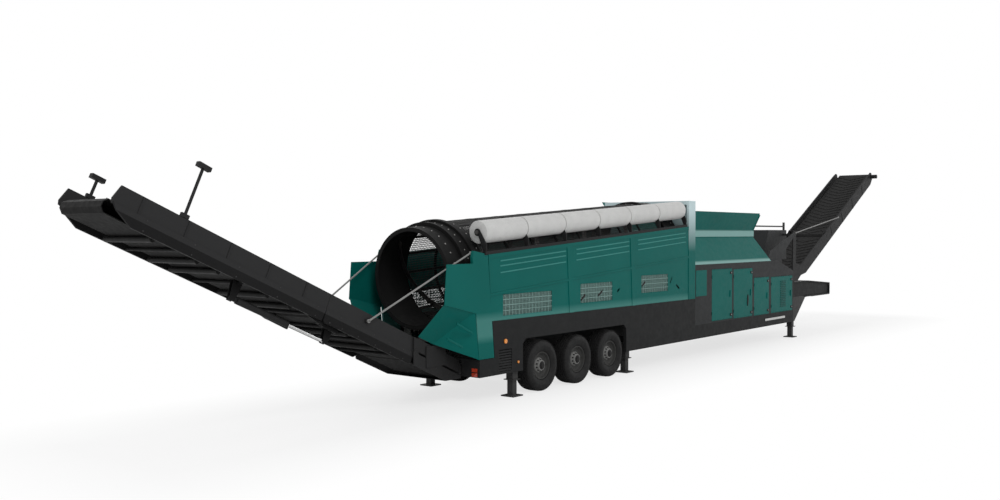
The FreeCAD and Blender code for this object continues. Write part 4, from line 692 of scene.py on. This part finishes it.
def door_fittings(sizes):
    """Latches with a bright stud at each door's top and bottom, an oval grip and a slatted vent."""
    for where, side in SIDES:
        for name, left, right, foot, head in DOORS:
            body = "door_%s_%s" % (where, name)
            face = 1.275 * side
            pads, studs = Shell(), Shell()
            for z in (foot + 0.11, head - 0.12):
                centre = at(right - 0.085, face + 0.007 * side, z)
                boxes(pads, WORLD, centre, (0.048, 0.007, 0.036))
                spun(studs, centre + (0.018, 0.007 * side, 0), (0, side, 0), STUD, 16)
            build("latch_pads_%s_%s" % (where, name), pads, body, finish("hub"), bevel=0.003)
            build("latch_studs_%s_%s" % (where, name), studs, body, finish("bare"))
            edge = Shell()
            for low, high in ((foot + 0.010, foot + 0.026), (head - 0.026, head - 0.010)):
                boxes(edge, WORLD, at((left + right) / 2, face + 0.001 * side, (low + high) / 2),
                      ((right - left) / 2 - 0.012, 0.003, 0.008))
            build("door_folds_%s_%s" % (where, name), edge, body, finish("body"))
            if name == "b":
                t = np.arange(40) * 2 * np.pi / 40
                rings = []
                for scale, out in ((1.0, -0.003), (1.0, 0.010), (0.86, 0.016), (0.5, 0.018)):
                    x = left + 0.92 + 0.045 * scale * np.cos(t)
                    z = foot + 0.47 + 0.165 * scale * np.sin(t) + 0.03 * scale * np.cos(t)
                    rings.append(np.stack((x - PIN_STATION, 0 * t + face + out * side, z + GROUND), axis=1))
                order = lattice(4, 40, False, True)
                caps = [np.arange(40)[None, ::-1], 120 + np.arange(40)[None, :]]
                turn = slice(None) if side > 0 else slice(None, None, -1)
                grip = Shell().add(np.concatenate(rings), *[group[:, turn] for group in (order, *caps)])
                build("door_grip_" + where, grip, body, finish("hub"))
            if name == "d":
                vent = Shell()
                rows_up = np.arange(foot + 0.16, head - 0.12, 0.055)
                ends = [((left + 0.68, z), (left + 1.10, z)) for z in rows_up]
                slats(vent, ends, side, (1.272, 1.285), 0.030)
                # The vent's slats take a darker copy of the body paint as painted shade.
                build("door_vent_" + where, vent, body, finish("vent_shade"))


WING_LEDGES = (((-2.72, 1.60), (-2.28, 1.39)), ((-2.99, 1.34), (-2.56, 1.15)))


def pairs(runs, heights):
    return [(a, n) for a in runs for n in heights]


# name, body, slope, half width, places along the run and up from it
BOLT_SETS = (
    ("tail_foot", "chassis", LEVEL, 0.782,
     pairs((-2.90, -2.62), (0.80, 1.13)) + [(-2.40, 0.60), (-2.75, 0.74), (-3.02, 0.86)]),
    ("tail_mid", "tail_mid", TAIL_MID, 0.750,
     pairs((0.30, 0.70, 1.10, 1.55, 1.95), (-0.30,))
     + pairs((0.25, 0.60, 1.00, 1.45, 1.85, 2.15), (-0.455,))),
    ("tail_head", "tail_head", TAIL_HEAD, 0.750, pairs(np.arange(0.20, 3.7, 0.85), (-0.295, -0.452))),
    ("fines_lower", "fines_lower", FINES, 0.690, pairs(np.arange(0.55, 2.60, 0.95), (-0.045, -0.385))),
    ("fines_upper", "fines_upper", FINES, 0.690, pairs(np.arange(2.80, 7.60, 1.20), (-0.045, -0.385))),
)


def side_trim(sizes):
    """Marker strip, wing ledges, bolt rows along both conveyors and the stiffening ribs on their sides."""
    for where, side in SIDES:
        strip = slats(Shell(), (((11.18, 0.705), (12.65, 0.705)),), side, (1.272, 1.279), 0.065)
        build("marker_strip_" + where, strip, "chassis", finish("pale"))
        ledges = slats(Shell(), WING_LEDGES, side, (1.262, 1.285), 0.040)
        build("wing_ledges_" + where, ledges, "chassis", finish("body"))
        for name, body, slope_of, half, places in BOLT_SETS:
            shell = Shell()
            for a, n in places:
                bolts(shell, slope_of.place((a, half * side, n)), (0, side, 0), 0.8 * sizes.bolt_scale)
            build("bolts_%s_%s" % (name, where), shell, body, finish("dark"))
        ribs = Shell()
        stations = (3.20, 4.40, 5.60, 6.80)
        boxes(ribs, FINES, [(a, 0.692 * side, -0.215) for a in stations], (0.022, 0.008, 0.200))
        boxes(ribs, FINES, ((5.35, 0.693 * side, -0.010),), (2.55, 0.009, 0.012))
        build("fines_ribs_" + where, ribs, "fines_upper", finish("conveyor"))
        ribs = Shell()
        stations = (0.55, 1.35, 2.15, 2.95, 3.75)
        boxes(ribs, TAIL_HEAD, [(a, 0.738 * side, -0.135) for a in stations], (0.020, 0.008, 0.128))
        build("tail_ribs_" + where, ribs, "tail_head", finish("conveyor"))


# Stage

def stage(sizes):
    """Floor, white surroundings, three soft lamps and the camera at the photograph's angle."""
    edge = 260.0
    floor = Shell().add(np.array(((-edge, -edge, GROUND), (edge, -edge, GROUND), (edge, edge, GROUND),
                                  (-edge, edge, GROUND))), ((0, 1, 2, 3),))
    obj = bpy.data.objects.new("floor", floor.mesh("floor", 0))
    bpy.context.scene.collection.objects.link(obj)
    f = Finish("floor_paper")
    f.shader.inputs["Base Color"].default_value = (sizes.floor_shade,) * 3 + (1,)
    f.shader.inputs["Roughness"].default_value = 0.6
    place = f.node("ShaderNodeSeparateXYZ", Vector=f.coordinates)
    squares = []
    for axis, shift, reach in (("X", 10.8, 15.6), ("Y", 0.0, 1.3)):
        run = f.maths("ABSOLUTE", f.maths("ADD", place.outputs[axis], shift), 0.0)
        squares.append(f.maths("POWER", f.maths("MAXIMUM", f.maths("SUBTRACT", run, reach), 0.0), 2.0))
    off = f.maths("SQRT", f.maths("ADD", *squares), 0.0)
    paper = f.node("ShaderNodeEmission", Color=(1, 1, 1, 1), Strength=1.0)
    looked_at = f.node("ShaderNodeLightPath").outputs["Is Camera Ray"]
    fade = f.node("ShaderNodeMixShader", Fac=f.maths("MULTIPLY", f.ramp(off, 0.0, 2.4, 0.72, 1.0), looked_at))
    f.link(f.shader.outputs["BSDF"], fade.inputs[1])
    f.link(paper.outputs["Emission"], fade.inputs[2])
    f.link(fade.outputs["Shader"], f.tree.nodes["Material Output"].inputs["Surface"])
    obj.data.materials.append(f.material)
    world = bpy.data.worlds.new("surroundings")
    bpy.context.scene.world = world
    world.use_nodes = True
    tree = world.node_tree
    out = tree.nodes["World Output"]
    light = tree.nodes["Background"]
    light.inputs["Color"].default_value = (1, 1, 1, 1)
    light.inputs["Strength"].default_value = 0.62
    seen = tree.nodes.new("ShaderNodeBackground")
    seen.inputs["Color"].default_value = (1, 1, 1, 1)
    seen.inputs["Strength"].default_value = 1.0
    path = tree.nodes.new("ShaderNodeLightPath")
    mix = tree.nodes.new("ShaderNodeMixShader")
    share = None
    for ray in ("Is Camera Ray", "Is Glossy Ray", "Is Transmission Ray"):
        if share is None:
            share = path.outputs[ray]
            continue
        most = tree.nodes.new("ShaderNodeMath")
        most.operation = "MAXIMUM"
        tree.links.new(share, most.inputs[0])
        tree.links.new(path.outputs[ray], most.inputs[1])
        share = most.outputs[0]
    tree.links.new(share, mix.inputs["Fac"])
    tree.links.new(light.outputs[0], mix.inputs[1])
    tree.links.new(seen.outputs[0], mix.inputs[2])
    tree.links.new(mix.outputs[0], out.inputs["Surface"])
    for name, place, aim, power, size in (
            ("key", (-34, -26, 24), (-10, 0, 0), 4200, 14), ("fill", (10, -30, 14), (-6, 0, 0), 1700, 16),
            ("rear", (-20, 24, 22), (-10, 0, 1), 1800, 14)):
        lamp = bpy.data.lights.new(name, "AREA")
        lamp.energy = power
        lamp.size = size
        holder = bpy.data.objects.new(name, lamp)
        holder.location = place
        holder.rotation_euler = (Vector(aim) - Vector(place)).to_track_quat("-Z", "Y").to_euler()
        bpy.context.scene.collection.objects.link(holder)
    camera = bpy.data.cameras.new("camera")
    camera.sensor_width = 36.0
    camera.lens = 36.0 * 0.9737
    camera.clip_end = 1000
    holder = bpy.data.objects.new("camera", camera)
    yaw, pitch = math.radians(38.577), math.radians(-0.962)
    look = Vector((math.cos(pitch) * math.cos(yaw), math.cos(pitch) * math.sin(yaw), math.sin(pitch)))
    holder.location = (-33.884, -13.113, 2.169)
    holder.rotation_euler = look.to_track_quat("-Z", "Y").to_euler()
    bpy.context.scene.collection.objects.link(holder)
    bpy.context.scene.camera = holder
    bpy.context.scene.view_settings.view_transform = "Standard"


# Finishes of the frame's own parts

def board_heights(where):
    """Foot and head of a conveyor's side board where its slope meets the rearmost axle's station."""
    top = where.origin[2] - GROUND + (where.origin[0] + PIN_STATION) * math.tan(TAIL_SLOPE)
    return top - 0.345 / math.cos(TAIL_SLOPE), top + 0.5


def make_finishes(colours):
    # Pale teal for the painted highlights on the hopper's gutter and the hood's lower edge.
    pale = (0.20, 0.36, 0.34)
    FINISHES.update({
        "body": paint("body_paint", colours.body, rough=0.36, dust=0.04),
        # The walls' lighter teal band 1.30 to 1.60 m above the ground is a painted highlight.
        "walls": paint("wall_paint_band_highlight", colours.body, rough=0.36, dust=0.04,
                       bands=((1.30, 1.60, 0.15, (0.05, 0.19, 0.17)),)),
        # The hopper's pale band at its gutter is a painted highlight.
        "hopper": paint("hopper_paint_gutter_highlight", colours.body, dust=0.04, bands=((3.185, 3.345, 0.03, pale),)),
        # The hood's pale band at its lower edge is a painted highlight.
        "hood": paint("hood_paint_edge_highlight", colours.body, dust=0.04, bands=((2.42, 2.50, 0.05, pale),)),
        # The end frame's pale grey from about 2.8 m upward, fading to teal below, is a painted reflection.
        "end": paint("end_paint_painted_reflection", colours.body, bands=((3.90, 9.0, 1.10, (0.52, 0.64, 0.66)),)),
        # A lighter teal for ridges pressed from the same painted walls: a painted highlight.
        "ridge": paint("ridge_highlight_paint", (0.040, 0.21, 0.19), dust=0.05),
        # A darker copy of the body paint for the door vents: painted shade.
        "vent_shade": paint("vent_shade_paint", shade(colours.body, 0.55), dust=0.15),
        "skirt": paint("skirt_paint", colours.skirt, rough=0.5, dust=0.12, shine=0.08),
        "strip": paint("strip_paint", shade(colours.skirt, 2.0), rough=0.5, dust=0.1, shine=0.08),
        "conveyor": paint("conveyor_paint", colours.conveyor, rough=0.45, dust=0.08),
        # Tail frames: 0.45 of the conveyor tone outside the side-board band is painted shade on the frame
        # under the board; the board band keeps a slightly lighter tone.
        "tail": paint("tail_paint_underside_shade", shade(colours.conveyor, 0.45), rough=0.45, dust=0.04,
                      lean=math.tan(TAIL_SLOPE),
                      bands=((*board_heights(TAIL_MID), 0.006, shade(colours.conveyor, 1.15)),)),
        "mesh": paint("mesh_paint", (0.17, 0.27, 0.25), rough=0.5, dust=0.1),
        "grey": paint("grey_paint", colours.fittings, rough=0.42, dust=0.2),
        "pale": paint("pale_paint", (0.58, 0.58, 0.57), rough=0.45, dust=0.1),
        "dark": paint("dark_paint", (0.045, 0.045, 0.045), rough=0.45, dust=0.15),
        "rim": rim_paint("rim_paint", shade(colours.wheel, 0.25), colours.wheel),
        "hub": paint("hub_paint", (0.02, 0.02, 0.02), rough=0.4, dust=0.3),
        "drum": paint("drum_paint", (0.010, 0.010, 0.010), rough=0.5, dust=0.2),
        "worn": steel("worn_steel", (0.16, 0.155, 0.15), rough=0.5),
        "bare": steel("bare_steel", (0.42, 0.41, 0.40), rough=0.4),
        "screen": steel("screen_steel", (0.045, 0.044, 0.043), rough=0.6, metallic=0.4),
        "chrome": steel("chrome_rod", (0.80, 0.80, 0.80), rough=0.16),
        "belt": rubber("belt_rubber", (0.009, 0.009, 0.009), 0.8, 0.08),
        "tyre": rubber("tyre_rubber", (0.0065, 0.0065, 0.0068), 0.66, 0.12),
        "bristle": bristle("brush_bristle", colours.bristles),
        "engine": steel("engine_cast", (0.18, 0.18, 0.18), rough=0.6, metallic=0.8),
        "lens": lens("lamp_lens", (0.80, 0.26, 0.02), (0.45, 0.02, 0.015), 0.04),
    })


SLOT_FINISH = {
    "body_paint": "body", "skirt_paint": "skirt", "conveyor_paint": "conveyor", "grey_paint": "grey",
    "rim_paint": "rim", "drum_steel": "drum", "bare_steel": "worn", "chrome_rod": "chrome",
    "brush_fibre": "bristle",
    "belt_rubber": "belt", "tyre": "tyre", "engine_block": "engine", "lamp_lens": "lens",
}
# The walls, hopper, hood and end finishes carry painted highlights; the tail finish carries painted shade.
NODE_FINISH = {
    "chassis_frame": "skirt", "house_walls": "strip", "house_floor": "skirt", "transfer_boot": "strip",
    "boot_frame": "strip", "boot_rail": "dark", "parking_jacks": "dark", "brush_frame": "conveyor",
    "lamp_posts": "conveyor", "wall_grilles": "mesh", "tail_mid_frame": "tail", "tail_head_frame": "tail",
    "drum_walls": "walls", "hopper": "hopper", "hopper_hood": "hood", "end_frame": "end",
}


def dress_nodes():
    """Gives each carried part the finish of its slot, or its own."""
    slots = {entry["node"]: entry["material_slot"] for entry in frame["record"]["subparts"]}
    for name, obj in frame["nodes"].items():
        look = finish(NODE_FINISH.get(name, SLOT_FINISH[slots[name]]))
        obj.data.materials.clear()
        obj.data.materials.append(look)


# Operators

class TROMMEL_OT_finishes(bpy.types.Operator):
    """Makes the finishes and gives them to the frame's own parts"""
    bl_idname = "trommel.finishes"
    bl_label = "Finishes"

    def execute(self, context):
        make_finishes(context.scene.trommel_colours)
        dress_nodes()
        return {"FINISHED"}


class TROMMEL_OT_wheels(bpy.types.Operator):
    """Builds the grooved tyres, the nuts and the hub caps"""
    bl_idname = "trommel.wheels"
    bl_label = "Wheels"

    def execute(self, context):
        tyres(context.scene.trommel_sizes)
        wheel_fittings(context.scene.trommel_sizes)
        return {"FINISHED"}


class TROMMEL_OT_drum(bpy.types.Operator):
    """Builds the drum's screen bars, flights and bolts"""
    bl_idname = "trommel.drum"
    bl_label = "Drum"

    def execute(self, context):
        for piece in (drum_screen, drum_flights, drum_bolts):
            piece(context.scene.trommel_sizes)
        return {"FINISHED"}


class TROMMEL_OT_brush(bpy.types.Operator):
    """Builds the cleaning brush"""
    bl_idname = "trommel.brush"
    bl_label = "Brush"

    def execute(self, context):
        brush_rolls(context.scene.trommel_sizes)
        return {"FINISHED"}


class TROMMEL_OT_belts(bpy.types.Operator):
    """Builds the belts' cleats and return rollers"""
    bl_idname = "trommel.belts"
    bl_label = "Belts"

    def execute(self, context):
        belt_cleats(context.scene.trommel_sizes)
        idlers(context.scene.trommel_sizes)
        return {"FINISHED"}


class TROMMEL_OT_panels(bpy.types.Operator):
    """Builds the walls' ridges and mesh, the doors' latches and vents, and the side trim"""
    bl_idname = "trommel.panels"
    bl_label = "Panels"

    def execute(self, context):
        for piece in (wall_panels, door_fittings, side_trim):
            piece(context.scene.trommel_sizes)
        return {"FINISHED"}


class TROMMEL_OT_stage(bpy.types.Operator):
    """Sets the floor, the surroundings, the lamps and the camera"""
    bl_idname = "trommel.stage"
    bl_label = "Stage"

    def execute(self, context):
        stage(context.scene.trommel_sizes)
        return {"FINISHED"}


STEPS = (TROMMEL_OT_finishes, TROMMEL_OT_wheels, TROMMEL_OT_drum, TROMMEL_OT_brush, TROMMEL_OT_belts,
         TROMMEL_OT_panels, TROMMEL_OT_stage)


class TROMMEL_PT_panel(bpy.types.Panel):
    """Lists the sizes, the colours and the steps"""
    bl_label = "Trommel screen"
    bl_space_type = "VIEW_3D"
    bl_region_type = "UI"
    bl_category = "Trommel"

    def draw(self, context):
        for group in (context.scene.trommel_colours, context.scene.trommel_sizes):
            for name in group.__annotations__:
                self.layout.prop(group, name)
        for step in STEPS:
            self.layout.operator(step.bl_idname)


CLASSES = (TrommelColours, TrommelSizes, *STEPS, TROMMEL_PT_panel)


def register():
    for cls in CLASSES:
        bpy.utils.register_class(cls)
    bpy.types.Scene.trommel_colours = PointerProperty(type=TrommelColours)
    bpy.types.Scene.trommel_sizes = PointerProperty(type=TrommelSizes)


def unregister():
    del bpy.types.Scene.trommel_sizes
    del bpy.types.Scene.trommel_colours
    for cls in reversed(CLASSES):
        bpy.utils.unregister_class(cls)


def main():
    register()
    for step in STEPS:
        group, name = step.bl_idname.split(".")
        getattr(getattr(bpy.ops, group), name)()


if __name__ == "__main__":
    main()
